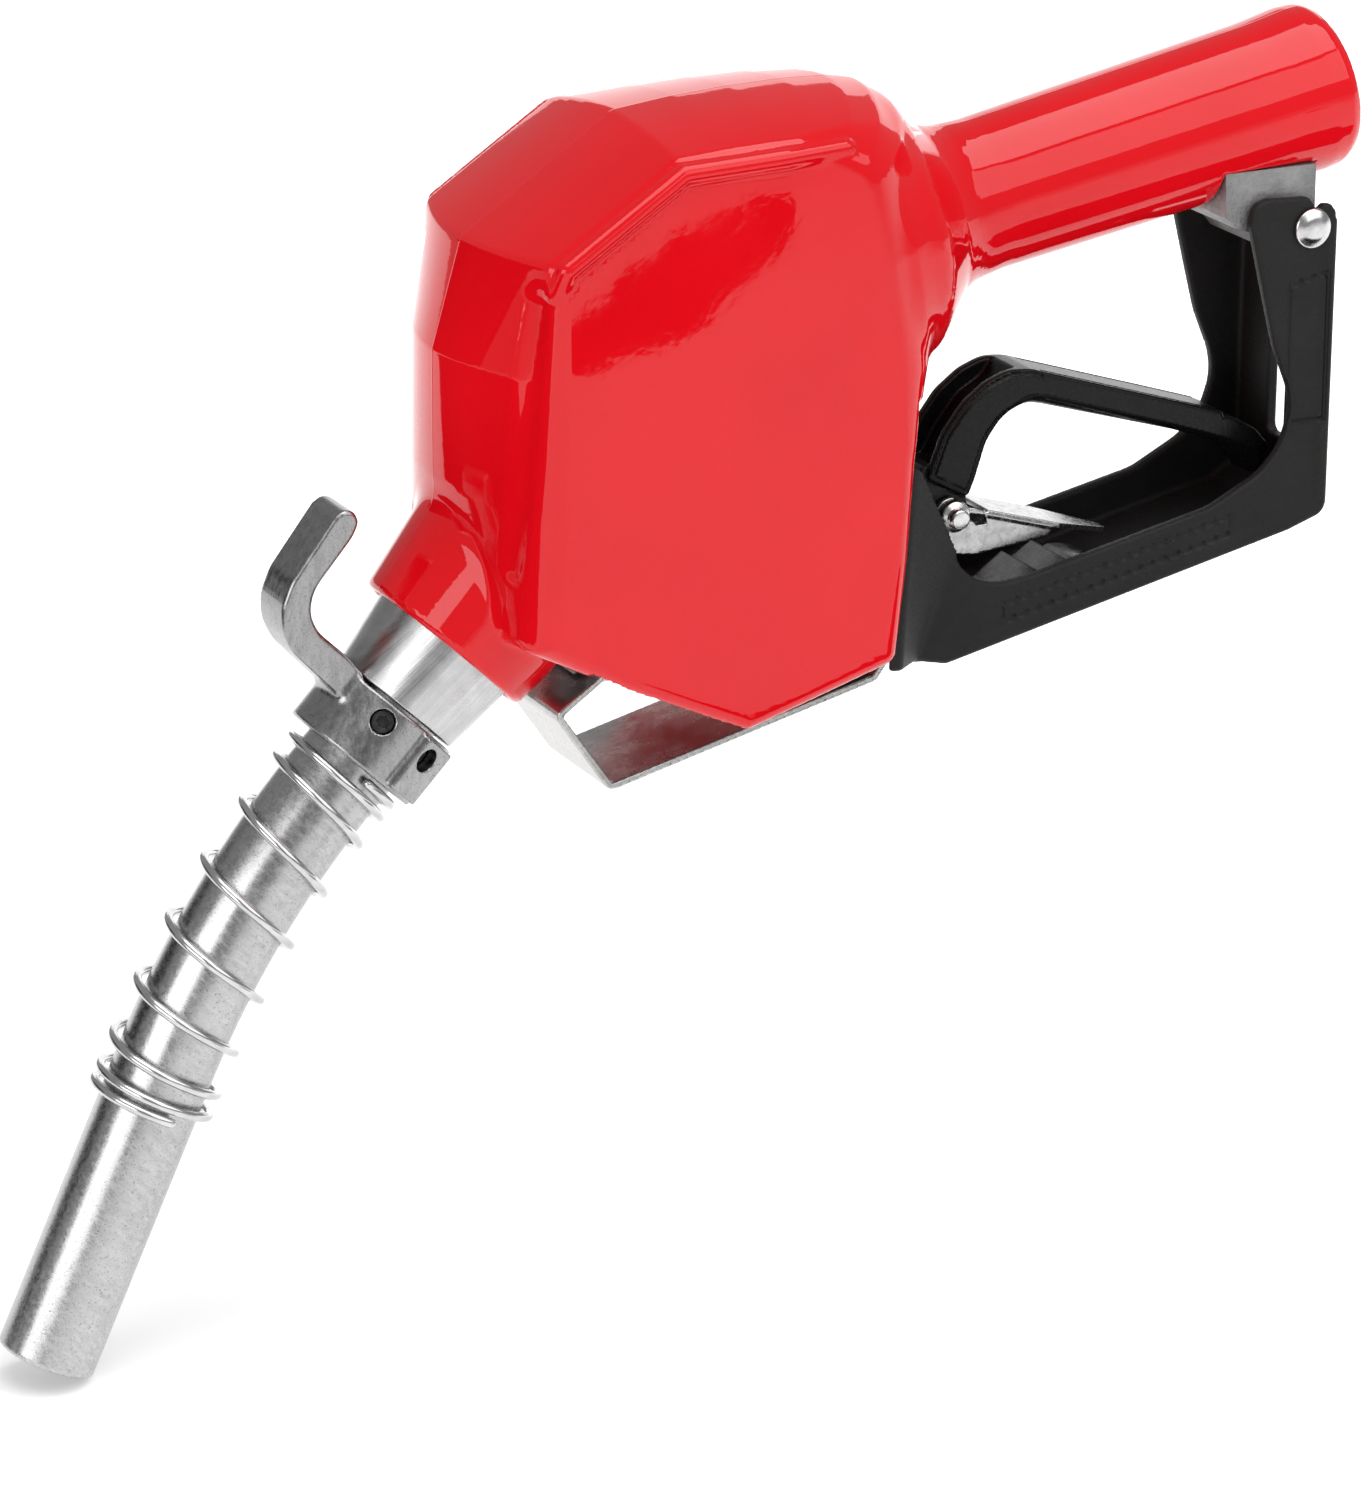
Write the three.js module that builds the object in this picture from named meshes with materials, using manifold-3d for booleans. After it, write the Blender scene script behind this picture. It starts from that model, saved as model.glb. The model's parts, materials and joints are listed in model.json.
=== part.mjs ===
// A hand-held fuel dispensing nozzle, as the separate pieces it is assembled from.
// Millimetres. X runs towards the hose, Y across the nozzle, Z up; y = 0 is the plane of symmetry.
// The pieces are laid out above the lowest bend of the strap, and one group at the end moves them
// all so that the centre of the hose inlet's face is the origin.

import * as THREE from 'three';
import { mergeVertices } from 'three/addons/utils/BufferGeometryUtils.js';
import Module from 'manifold-3d';

const wasm = await Module();
wasm.setup();

const DEG = Math.PI / 180;
const GAP = 0.3;                       // clearance kept between pieces that touch

// Body and its vinyl cover
const BODY_HALF_WIDTH = 33;
const COVER_WALL = 2.5;
const CASTING_INSET = COVER_WALL + GAP;
const SKIRT_HALF_GAP = 30.4;           // half the open space between the two side skirts

// Spout line: it leaves the body at 46 degrees below the horizontal
const SPOUT_START = [-54, 31];         // x, z of the boot's rim on the spout's centreline
const SPOUT_ANGLE = 46;
const SPOUT_STRAIGHT = 36;             // length before the bend
const SPOUT_BEND_RADIUS = 200;
const SPOUT_BEND = 19;                 // degrees
const SPOUT_TAIL = 66;                 // length after the bend
const SPOUT_RADIUS = 10.3;
const SPOUT_WALL = 1.4;
const BOOT_RADIUS = 19.5;              // red boot at its rim
const BOOT_FLARE = 0.12;               // growth of that radius per millimetre towards the body

// Handle line: a hollow grip that rises towards the hose
const HANDLE_END = [149, 126.3];       // x, z of the grip's end on its centreline
const HANDLE_ANGLE = 10.6;
const HANDLE_WALL = 2.2;
const INLET_RADIUS = 12.6;             // hose thread
const INLET_DEPTH = 16;
const FLOW_RADIUS = 9.6;
const INLET_FACE = -1;                 // the casting's end face, measured along the grip's line

// Main valve and latch, both on vertical lines
const VALVE_X = 18;
const LATCH_X = -14;
const VALVE_BORE = 14.4;
const VALVE_SEAT_Z = 80;
const DIAPHRAGM_BORE = 15.6;
const CASTING_FLOOR = 52;

// Lever
const PIVOT = [LATCH_X, 24];
const LEVER_HALF_WIDTH = 7;
const LEVER_LUG_HALF_WIDTH = 5.2;
const FORK_HALF_GAP = 4.2;
const CLIP_PIVOT = [59.3, 45.1];
const CLIP_SHEET = 1.2;
const CLIP_HALF_WIDTH = 6.9;

// Guard
const GUARD_HALF_WIDTH = 17.5;
const GUARD_WALL = 2.6;
const GUARD_RIVET = [138.5, 100.1];

// Strap
const STRAP_HALF_WIDTH = 14;
const STRAP_SHEET = 1.5;

// Hook collar
const COLLAR_START = 15.8;             // along the spout line
const COLLAR_END = 29.8;
const COLLAR_RADIUS = 15;
const HOOK_HALF_WIDTH = 6.3;

const MATERIALS = {
  vinyl: { color: 0xd8232a, roughness: 0.18, metalness: 0 },
  casting: { color: 0x8d8c89, roughness: 0.6, metalness: 0.8 },
  zinc: { color: 0xa9abad, roughness: 0.35, metalness: 0.95 },
  steel: { color: 0xc9ccce, roughness: 0.22, metalness: 1 },
  strap: { color: 0xb4b4b2, roughness: 0.42, metalness: 0.9 },
  plastic: { color: 0x24211f, roughness: 0.55, metalness: 0 },
  lever: { color: 0x1b1a19, roughness: 0.4, metalness: 0 },
  brass: { color: 0xb08d4a, roughness: 0.35, metalness: 0.95 },
  rubber: { color: 0x151515, roughness: 0.8, metalness: 0 },
};

// ---------------------------------------------------------------- geometry helpers

const UP = new THREE.Vector3(0, 0, 1);
const ACROSS = new THREE.Vector3(0, 1, 0);
const inPlane = (angle) => new THREE.Vector3(Math.cos(angle * DEG), 0, Math.sin(angle * DEG));
const spoutAxis = inPlane(180 + SPOUT_ANGLE);
const spoutUpper = inPlane(90 + SPOUT_ANGLE);       // square to the spout line, towards the hook
const handleAxis = inPlane(HANDLE_ANGLE);
const alongSpout = (s) => spoutAxis.clone().multiplyScalar(s).add(vertical(...SPOUT_START));
const alongHandle = (s) => handleAxis.clone().multiplyScalar(s).add(vertical(...HANDLE_END));

// Turns any closed three.js geometry into a solid, with its faces pointing out.
function solidOf(geometry) {
  for (const name of Object.keys(geometry.attributes)) {
    if (name !== 'position') geometry.deleteAttribute(name);
  }
  const merged = mergeVertices(geometry, 1e-4);
  const position = merged.attributes.position;
  const corner = [new THREE.Vector3(), new THREE.Vector3(), new THREE.Vector3()];
  const triangles = [];
  let volume = 0;
  for (let i = 0; i < merged.index.count; i += 3) {
    const ids = [0, 1, 2].map((k) => merged.index.getX(i + k));
    if (new Set(ids).size < 3) continue;
    triangles.push(ids);
    ids.forEach((id, k) => corner[k].fromBufferAttribute(position, id));
    volume += corner[0].dot(corner[1].cross(corner[2]));
  }
  if (volume < 0) triangles.forEach((ids) => ids.reverse());
  return new wasm.Manifold(new wasm.Mesh({
    numProp: 3,
    vertProperties: Float32Array.from(position.array),
    triVerts: Uint32Array.from(triangles.flat()),
  }));
}

function geometryOf(solid) {
  const { vertProperties, triVerts } = solid.getMesh();
  const geometry = new THREE.BufferGeometry();
  geometry.setAttribute('position', new THREE.BufferAttribute(vertProperties, 3));
  geometry.setIndex(new THREE.BufferAttribute(triVerts, 1));
  geometry.computeVertexNormals();
  return geometry;
}

const union = (...solids) => solids.reduce((sum, next) => sum.add(next));
const cut = (solid, ...tools) => tools.reduce((left, tool) => left.subtract(tool), solid);

// A side-view outline of [x, z] corners, given thickness from y0 to y1.
function prism(outline, y0, y1) {
  const shape = new THREE.Shape(outline.map(([x, z]) => new THREE.Vector2(x, z)));
  const geometry = new THREE.ExtrudeGeometry(shape, { depth: y1 - y0, bevelEnabled: false });
  geometry.rotateX(Math.PI / 2);
  geometry.translate(0, y1, 0);
  return solidOf(geometry);
}

const block = (x0, x1, y0, y1, z0, z1) => prism([[x0, z0], [x1, z0], [x1, z1], [x0, z1]], y0, y1);

// A turned shape: [radius, distance] pairs about the line that leaves `from` along `axis`.
function turned(profile, from, axis, sides = 16) {
  const points = profile.map(([radius, distance]) => new THREE.Vector2(radius, distance));
  const geometry = new THREE.LatheGeometry(points, sides);
  geometry.applyQuaternion(new THREE.Quaternion().setFromUnitVectors(ACROSS, axis));
  geometry.translate(from.x, from.y, from.z);
  return solidOf(geometry);
}

const rod = (radius, start, end, from, axis, sides = 14) =>
  turned([[0, start], [radius, start], [radius, end], [0, end]], from, axis, sides);

const ring = (inner, outer, start, end, from, axis, sides = 18) =>
  turned([[inner, start], [outer, start], [outer, end], [inner, end], [inner, start]], from, axis, sides);

// A point on the plane of symmetry; without a height, the foot of a vertical line.
const vertical = (x, z = 0) => new THREE.Vector3(x, 0, z);

// A round O-ring.
function oRing(radius, thickness, at, from, axis) {
  const profile = [];
  for (let i = 0; i <= 4; i++) {
    const turn = i * 90 * DEG;
    profile.push([radius + thickness * Math.cos(turn), at + thickness * Math.sin(turn)]);
  }
  return turned(profile, from, axis, 18);
}

// A closed skin over cross-sections that all have the same number of corners.
// `flat` names the two coordinates that the end faces are drawn in.
function loft(sections, flat) {
  const count = sections[0].length;
  const index = [];
  for (let k = 0; k + 1 < sections.length; k++) {
    for (let i = 0; i < count; i++) {
      const j = (i + 1) % count;
      const [a, b, c, d] = [k * count + i, k * count + j, (k + 1) * count + j, (k + 1) * count + i];
      index.push(a, b, c, a, c, d);
    }
  }
  const last = (sections.length - 1) * count;
  const face = (section) => section.map((p) => new THREE.Vector2(p[flat[0]], p[flat[1]]));
  const wound = THREE.ShapeUtils.isClockWise(face(sections[0])) ? -1 : 1;
  for (const [section, offset, side] of [[sections[0], 0, 1], [sections.at(-1), last, -1]]) {
    for (const triangle of THREE.ShapeUtils.triangulateShape(face(section), [])) {
      const ids = triangle.map((i) => i + offset);
      index.push(...(side * wound > 0 ? ids.reverse() : ids));
    }
  }
  const geometry = new THREE.BufferGeometry();
  geometry.setAttribute('position', new THREE.Float32BufferAttribute(sections.flat(2), 3));
  geometry.setIndex(index);
  return solidOf(geometry);
}

// Moves every side of a closed outline inwards by `distance`.
function insetOutline(outline, distance) {
  const count = outline.length;
  const area = THREE.ShapeUtils.area(outline.map(([x, z]) => new THREE.Vector2(x, z)));
  const side = Math.sign(area);
  return outline.map(([x, z], i) => {
    const before = outline[(i + count - 1) % count];
    const after = outline[(i + 1) % count];
    const first = new THREE.Vector2(x - before[0], z - before[1]).normalize();
    const second = new THREE.Vector2(after[0] - x, after[1] - z).normalize();
    const inward = new THREE.Vector2(-first.y - second.y, first.x + second.x).normalize();
    const reach = distance / Math.max(0.5, inward.dot(new THREE.Vector2(-first.y, first.x)));
    return [x + side * inward.x * reach, z + side * inward.y * reach];
  });
}

// Sweeps a round section along a curve.
function swept(curve, steps, radius, sides, hole = 0) {
  const circle = (r, n) => {
    const points = [];
    for (let i = 0; i < n; i++) {
      const turn = (i / n) * 2 * Math.PI;
      points.push(new THREE.Vector2(r * Math.cos(turn), r * Math.sin(turn)));
    }
    return points;
  };
  const shape = new THREE.Shape(circle(radius, sides));
  if (hole > 0) shape.holes.push(new THREE.Path(circle(hole, sides)));
  return solidOf(new THREE.ExtrudeGeometry(shape, { steps, extrudePath: curve, bevelEnabled: false }));
}

// A coil spring about a straight line.
class CoilCurve extends THREE.Curve {
  constructor(radius, start, end, turns, from, axis) {
    super();
    this.base = from.clone().addScaledVector(axis, start);
    this.rise = axis.clone().multiplyScalar(end - start);
    this.side = Math.abs(axis.y) > 0.9 ? UP.clone() : ACROSS.clone();
    this.other = this.side.clone().cross(axis);
    this.radius = radius;
    this.turns = turns;
  }

  getPoint(t, target = new THREE.Vector3()) {
    const turn = 2 * Math.PI * this.turns * t;
    return target.copy(this.base)
      .addScaledVector(this.rise, t)
      .addScaledVector(this.side, this.radius * Math.cos(turn))
      .addScaledVector(this.other, this.radius * Math.sin(turn));
  }
}

function coil(wire, radius, start, end, turns, from, axis) {
  return swept(new CoilCurve(radius, start, end, turns, from, axis), Math.round(turns * 9), wire, 4);
}

const pieces = new THREE.Group();

function piece(name, solid, material) {
  const mesh = new THREE.Mesh(geometryOf(solid), new THREE.MeshStandardMaterial(MATERIALS[material]));
  mesh.name = name;
  pieces.add(mesh);
}

// ---------------------------------------------------------------- body, cover and casting

// The body's outline where its side faces are flat, and the matching outline on the plane of
// symmetry, where the front, top and back are crowned like a roof.
const SIDE_OUTLINE = [
  [-47, 36], [-45, 62], [-44, 92], [-41.8, 116], [-15.2, 133.3], [6, 134], [21, 134.3], [31, 128],
  [37, 108], [38.6, 84], [36.8, 65.7], [35.5, 45.3], [33.2, 24], [-0.3, 14], [-33.8, 29.7],
];
const CROWN_OUTLINE = [
  [-53, 40], [-55.6, 67], [-55.8, 93], [-49.6, 115.4], [-15.3, 138.4], [4, 141.3], [27, 141.5], [42, 138.8],
  [50, 122], [51, 88], [44, 68], [41, 45.3], [38, 24], [-0.3, 14], [-33.8, 29.7],
];

// Stations across half of the body: share of the half width, extra inset and share of the crown.
const BODY_STATIONS = [[1, 3.2, 0], [0.965, 1, 0], [0.91, 0, 0.04], [0.5, 0, 0.62], [0, 0, 1]];

function bodyHull(inset) {
  const section = ([share, extra, crown], sign) => {
    const outline = SIDE_OUTLINE.map(([x, z], i) => [
      x + (CROWN_OUTLINE[i][0] - x) * crown,
      z + (CROWN_OUTLINE[i][1] - z) * crown,
    ]);
    const y = sign * (BODY_HALF_WIDTH * share - inset * (share > 0 ? 1 : 0));
    return insetOutline(outline, inset + extra).map(([x, z]) => [x, y, z]);
  };
  const half = BODY_STATIONS.map((station) => section(station, -1));
  const rest = BODY_STATIONS.slice(0, -1).reverse().map((station) => section(station, 1));
  return loft([...half, ...rest], [0, 2]);
}

// The boot round the spout: a cone that widens into the body.
const BOOT_ROOT = -38;                 // where it ends inside the body, along the spout line
function boot(inset, start) {
  const radius = (s) => BOOT_RADIUS - inset - s * BOOT_FLARE;
  const profile = [[0, start], [radius(start), start], [radius(BOOT_ROOT), BOOT_ROOT], [0, BOOT_ROOT]];
  return turned(profile, alongSpout(0), spoutAxis, 22);
}

// The grip: it swells slightly to a rolled end, and flares where it leaves the body.
const GRIP_PROFILE = [
  [-112, 29], [-104, 27.5], [-100, 24], [-95.5, 19.6], [-90, 16.6], [-84, 16.1], [-14, 17.2], [-5, 17.9],
];

function grip(inset, end) {
  const profile = GRIP_PROFILE.map(([s, radius]) => [radius - inset, s]);
  return turned([[0, -112], ...profile, ...end, [0, end.at(-1)[1]]], alongHandle(0), handleAxis, 22);
}

// The lug under the end of the grip, which holds the top of the guard.
const LUG_HALF_WIDTH = 14.4;
const LUG_OUTLINE = [
  [119, 113], [119.5, 103.5], [122, 101], [129.5, 98.4], [133, 94.2], [141, 94.2], [141, 113],
];

// The space below the casting, open downwards and towards the lever.
const SKIRT_SPACE = [[-34, 33], [-34, -5], [75, -5], [75, 78], [30, 78], [20, 44], [-22, 44]];

const lugSlot = prism(insetOutline(LUG_OUTLINE, -GAP), -LUG_HALF_WIDTH - GAP, LUG_HALF_WIDTH + GAP);
const coverLip = [[17.7, -1.5], [17.1, 0.4], [16.2, 1.2]];
const coverInside = union(
  bodyHull(COVER_WALL),
  boot(HANDLE_WALL, 2),
  grip(HANDLE_WALL, [[15.7, -3.5], [15.7, 3]]),
);
const vinylCover = cut(
  union(bodyHull(0), boot(0, 0), grip(0, coverLip)),
  coverInside,
  prism(SKIRT_SPACE, -SKIRT_HALF_GAP, SKIRT_HALF_GAP),
  lugSlot,
);
piece('vinyl_cover', vinylCover, 'vinyl');

// The casting fills the cover above its floor, and the boot down to the spout adapter.
const CASTING_REGION = [
  [-75, 150], [60, 150], [60, 84], [45, 82], [38, 66], [31, 57], [24, CASTING_FLOOR], [-24, CASTING_FLOOR],
  [-24, 44], [-36, 31], [-60, 31],
];
const STRAP_FOOT = [[-29, 36], [-28.6, 23.6], [-20, 29.6], [-20, 46]];
const footNormal = inPlane(124.5);                          // square to the strap's front panel
const footScrew = new THREE.Vector3(-25, 0, 23.4);
const ADAPTER_BORE = 14.8;
const STRAP_FOOT_HALF_WIDTH = 9;
const LATCH_BOSS_RADIUS = 9;
const PLUNGER_BORE = 6.4;
const PLUNGER_SPRING_BORE = 7.4;
const LATCH_PLATE_BORE = 12.6;
const SEAT_BORE = 10;
const STEM_BORE = 3.4;
const PACKING_BORE = 5.4;
const OUTLET_BORE = 11;
const RIVET_HOLE = 3.3;
const FOOT_SCREW_HOLE = 2.1;
const OUTSIDE = 150;                   // a height above everything
const castingOutside = union(
  bodyHull(CASTING_INSET).intersect(prism(CASTING_REGION, -BODY_HALF_WIDTH, BODY_HALF_WIDTH)),
  boot(HANDLE_WALL + GAP, -3),
  grip(HANDLE_WALL + GAP, [[15.4, -4], [15.4, INLET_FACE]]),
  prism(LUG_OUTLINE, -LUG_HALF_WIDTH, LUG_HALF_WIDTH),
  prism(STRAP_FOOT, -STRAP_FOOT_HALF_WIDTH, STRAP_FOOT_HALF_WIDTH),
  rod(LATCH_BOSS_RADIUS, 40, 60, vertical(LATCH_X), UP),
);
const outletChamber = cut(
  prism([[-30, 58], [31, 60], [31, 74], [-30, 74]], -21, 21),
  rod(LATCH_BOSS_RADIUS, 50, 80, vertical(LATCH_X), UP),
);
const castingInside = [
  rod(FLOW_RADIUS, -132, 5, alongHandle(0), handleAxis, 20),
  rod(INLET_RADIUS, INLET_FACE - INLET_DEPTH, 5, alongHandle(0), handleAxis, 24),
  rod(VALVE_BORE, VALVE_SEAT_Z - 3, OUTSIDE, vertical(VALVE_X), UP, 20),
  rod(SEAT_BORE, 66, VALVE_SEAT_Z, vertical(VALVE_X), UP, 20),
  rod(STEM_BORE, 40, 70, vertical(VALVE_X), UP),
  rod(PACKING_BORE, 40, 58, vertical(VALVE_X), UP),
  outletChamber,
  rod(PLUNGER_BORE, 30, 88, vertical(LATCH_X), UP),
  rod(PLUNGER_SPRING_BORE, 30, 46, vertical(LATCH_X), UP),
  rod(LATCH_PLATE_BORE, 88, 98, vertical(LATCH_X), UP, 20),
  rod(DIAPHRAGM_BORE, 96, OUTSIDE, vertical(LATCH_X), UP, 20),
  rod(ADAPTER_BORE, -27, 5, alongSpout(0), spoutAxis, 20),
  rod(OUTLET_BORE, -40, -20, alongSpout(0), spoutAxis, 16),
  rod(RIVET_HOLE, -30, 30, vertical(...GUARD_RIVET), ACROSS, 12),
  rod(FOOT_SCREW_HOLE, -3, 12, footScrew, footNormal, 12),
];
piece('body_casting', cut(castingOutside, ...castingInside), 'casting');

// ---------------------------------------------------------------- main valve, above the lever

const SEAT_INNER = 8;
const STEM_RADIUS = 2.8;
const valveLine = vertical(VALVE_X);
const hexagon = (radius, start, end, from, axis) => rod(radius, start, end, from, axis, 6);

const seatRing = ring(SEAT_INNER, VALVE_BORE - GAP, VALVE_SEAT_Z - 2.7, VALVE_SEAT_Z, valveLine, UP);
piece('valve_seat', seatRing, 'brass');
piece('poppet_seal', ring(3.2, 9.6, 80.3, 82.3, valveLine, UP, 16), 'rubber');
piece('valve_poppet', turned([
  [0, 45.1], [STEM_RADIUS, 45.1], [STEM_RADIUS, 82.6], [10.6, 82.6], [10.6, 85.6], [4.4, 85.6], [4.4, 95], [0, 95],
], valveLine, UP, 16), 'brass');
piece('poppet_spring', coil(0.9, 7.6, 86.8, 117.2, 5, valveLine, UP), 'steel');
piece('stem_packing', ring(3.1, 5.1, 54.6, 57.7, valveLine, UP, 12), 'rubber');
piece('packing_nut', cut(
  hexagon(5.1, 52.3, 54.3, valveLine, UP),
  rod(3.1, 40, 60, valveLine, UP, 12),
), 'brass');
piece('valve_cap', cut(
  union(rod(VALVE_BORE - GAP, 118.6, 128, valveLine, UP, 20), hexagon(9.5, 127, 132.5, valveLine, UP)),
  rod(9.5, 110, 122, valveLine, UP, 16),
  ring(12.3, 20, 120, 123, valveLine, UP, 20),
), 'zinc');
piece('valve_cap_o_ring', oRing(13.35, 0.8, 121.5, valveLine, UP), 'rubber');

// ---------------------------------------------------------------- automatic latch, at the front

const latchLine = vertical(LATCH_X);
const PLUNGER_RADIUS = 6.1;
const BALL_HEIGHT = 80;

const plungerBody = union(
  rod(PLUNGER_RADIUS, 50, 86, latchLine, UP),
  rod(4.6, 31, 52, latchLine, UP, 12),
  rod(7, 35.4, 37, latchLine, UP),
  block(LATCH_X - 5.5, LATCH_X + 5.5, -3.6, 3.6, 19, 34),
);
piece('latch_plunger', cut(
  plungerBody,
  rod(3, 60, 90, latchLine, UP, 12),
  rod(2.2, -10, 10, vertical(PIVOT[0], PIVOT[1]), ACROSS, 12),
  ...[0, 120, 240].map((turn) => rod(2.1, 0, 12, vertical(LATCH_X, BALL_HEIGHT), inLevel(turn), 8)),
), 'steel');
piece('plunger_spring', coil(0.6, 6, 37.9, 45.1, 3, latchLine, UP), 'steel');
for (const [number, turn] of [[1, 0], [2, 120], [3, 240]]) {
  const centre = vertical(LATCH_X, BALL_HEIGHT).addScaledVector(inLevel(turn), 4.2);
  const ball = new THREE.IcosahedronGeometry(1.7, 1);
  ball.translate(centre.x, centre.y, centre.z);
  piece(`latch_ball_${number}`, solidOf(ball), 'steel');
}
piece('latch_pin', turned([
  [0, 70], [1.6, 70], [2.2, 72], [2.2, 96.7], [9, 96.7], [9, 97.7], [0, 97.7],
], latchLine, UP, 12), 'steel');
piece('diaphragm', turned([
  [0, 98], [10, 98], [12, 99.6], [13.2, 98.4], [15.3, 98.4],
  [15.3, 99.4], [13.4, 99.4], [12, 100.6], [10, 99], [0, 99],
], latchLine, UP, 20), 'rubber');
piece('diaphragm_spring', coil(0.6, 6, 99.9, 116.8, 4, latchLine, UP), 'steel');
piece('diaphragm_cap', turned([
  [14.3, 99.7], [15.3, 99.7], [15.3, 122], [0, 122], [0, 117.7], [12.8, 117.7], [12.8, 102], [14.3, 99.7],
], latchLine, UP, 20), 'zinc');

function inLevel(turn) {
  return new THREE.Vector3(Math.cos(turn * DEG), Math.sin(turn * DEG), 0);
}

// ---------------------------------------------------------------- lever and hold-open clip

// A round end of an outline, as points on an arc.
function arc([x, z], radius, from, to, steps) {
  const points = [];
  for (let i = 0; i <= steps; i++) {
    const turn = (from + ((to - from) * i) / steps) * DEG;
    points.push([x + radius * Math.cos(turn), z + radius * Math.sin(turn)]);
  }
  return points;
}

// The arch and the squeeze bar, at the lever's full width.
const LEVER_GRIP = [
  [53.9, 53.4], [57.4, 62.6], [62, 68.6], [67.5, 72.6], [73, 74.6], [78, 74.2],
  [110.5, 63.7], [124.8, 59], [133.2, 54.1], [137.4, 49], [136.8, 43.4], [133.6, 43.4], [130.5, 47.6],
  [126, 51.2], [114.4, 55.5], [77.8, 66.6], [71.6, 65], [67.6, 60], [65, 52], [63.4, 48.2],
];
// The arm that runs forward under the valve stem to the fork at the plunger.
const LEVER_ARM = [
  ...arc(PIVOT, 5.6, 250, 90, 6), [-3, 31.4], [8, 38], [VALVE_X - 3, 43], [VALVE_X + 2, 43.6],
  [30, 46], [46, 49], [50, 51], [50, 41], [30, 36], [12, 28.6],
];
// The narrower lug between them, which the clip straddles.
const LEVER_LUG = [
  [46, 48], [53.9, 56], [63.6, 50.4], ...arc(CLIP_PIVOT, 5, 0, -100, 4), [52, 40.4], [46, 39.6],
];
const leverBody = union(
  prism(LEVER_GRIP, -LEVER_HALF_WIDTH, LEVER_HALF_WIDTH),
  prism(LEVER_ARM, -LEVER_HALF_WIDTH, LEVER_HALF_WIDTH),
  prism(LEVER_LUG, -LEVER_LUG_HALF_WIDTH, LEVER_LUG_HALF_WIDTH),
);
const ARCH_CHANNEL = [[50, 57], [58, 55.5], [61.6, 61.5], [66.5, 67.6], [72, 70.6], [74, 80], [50, 80]];
const CHANNEL_HALF_WIDTH = 4.6;
const FORK_SPACE = [[-25, 10], [-6, 10], [-6, 40], [-25, 40]];
const PIVOT_PIN_RADIUS = 1.95;
const CLIP_RIVET_RADIUS = 2.55;
const PIN_PLAY = 0.35;                 // added to a pin's radius for the hole it turns in
const crossRod = (radius, half, centre) => rod(radius, -half, half, vertical(...centre), ACROSS, 12);

piece('lever', cut(
  leverBody,
  prism(ARCH_CHANNEL, -CHANNEL_HALF_WIDTH, CHANNEL_HALF_WIDTH),
  prism(FORK_SPACE, -FORK_HALF_GAP, FORK_HALF_GAP),
  crossRod(PIVOT_PIN_RADIUS + PIN_PLAY, 10, PIVOT),
  crossRod(CLIP_RIVET_RADIUS + PIN_PLAY, 10, CLIP_PIVOT),
), 'lever');
piece('lever_pivot_pin', crossRod(PIVOT_PIN_RADIUS, 8.2, PIVOT), 'steel');

const CLIP_EAR = [
  ...arc(CLIP_PIVOT, 3.6, 80, 200, 4), [57.6, 38.4], [60, 36.2], [65, 35.5], [82.6, 37.3], [84.7, 39],
  [68.2, 44.2], [62.5, 46.5],
];
const CLIP_WEB = [[68.2, 44.9], [99.6, 35.4], [99.3, 34.2], [67.8, 43.7]];
// The clip's top narrows to a tongue: a block with this outline in plan, sloping down to the tip.
const CLIP_TONGUE = [
  [66, -CLIP_HALF_WIDTH], [85.5, -CLIP_HALF_WIDTH], [101, -1.2], [101, 1.2], [85.5, CLIP_HALF_WIDTH],
  [66, CLIP_HALF_WIDTH],
];
const tongueAt = (height) => CLIP_TONGUE.map(([x, y]) => [x, y, height - (x - 66) * 0.3]);
const clipTongue = loft([tongueAt(40), tongueAt(50)], [0, 1]);
piece('hold_open_clip', cut(
  union(
    prism(CLIP_EAR, -CLIP_HALF_WIDTH, -CLIP_HALF_WIDTH + CLIP_SHEET),
    prism(CLIP_EAR, CLIP_HALF_WIDTH - CLIP_SHEET, CLIP_HALF_WIDTH),
    prism(CLIP_WEB, -CLIP_HALF_WIDTH, CLIP_HALF_WIDTH).intersect(clipTongue),
  ),
  crossRod(CLIP_RIVET_RADIUS + PIN_PLAY, 10, CLIP_PIVOT),
), 'steel');
piece('clip_rivet', turned([
  [0, -11.6], [2.2, -11.6], [2.2, -9.6], [3.4, -9.2], [3.4, -7.2], [CLIP_RIVET_RADIUS, -7.2],
  [CLIP_RIVET_RADIUS, 7.2], [3.4, 7.2], [3.4, 9.2], [2.2, 9.6], [2.2, 11.6], [0, 11.6],
], vertical(...CLIP_PIVOT), ACROSS, 12), 'steel');

// ---------------------------------------------------------------- guard, rack and strap

const HEEL_CENTRE = [141, 39.8];
const HEEL_RADIUS = 3.3;
const GUARD_SIDE = [
  [45, 18.3], [53, 16.6], [135.8, 34.6], ...arc(HEEL_CENTRE, HEEL_RADIUS, -70, 0, 3), [144.7, 103],
  [143.4, 104.6], [141.6, 104.8], [140.2, 103.4], [138, 106.6], [128, 107.2], [124.6, 106.2], [123.9, 102],
  [127.9, 85.8], [130.7, 75], [134.6, 65.5], [135.3, 60.5], [133.2, 53], [128, 47.6], [116.2, 41.7],
  [72.5, 32.6], [65, 31.9], [58.6, 34.2], [53.6, 40.4],
];
const GUARD_FLOOR = [[46, 18.3], [53, 16.6], [135.8, 34.6], [135.8, 37.3], [53, 19.3], [46, 21]];
const GUARD_BACK = [
  [135, 34.4], ...arc(HEEL_CENTRE, HEEL_RADIUS, -70, 0, 3), [144.7, 101], [142.1, 101], [141.7, 41.2],
  [135, 37.1],
];
const innerGuard = GUARD_HALF_WIDTH - GUARD_WALL;

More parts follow.
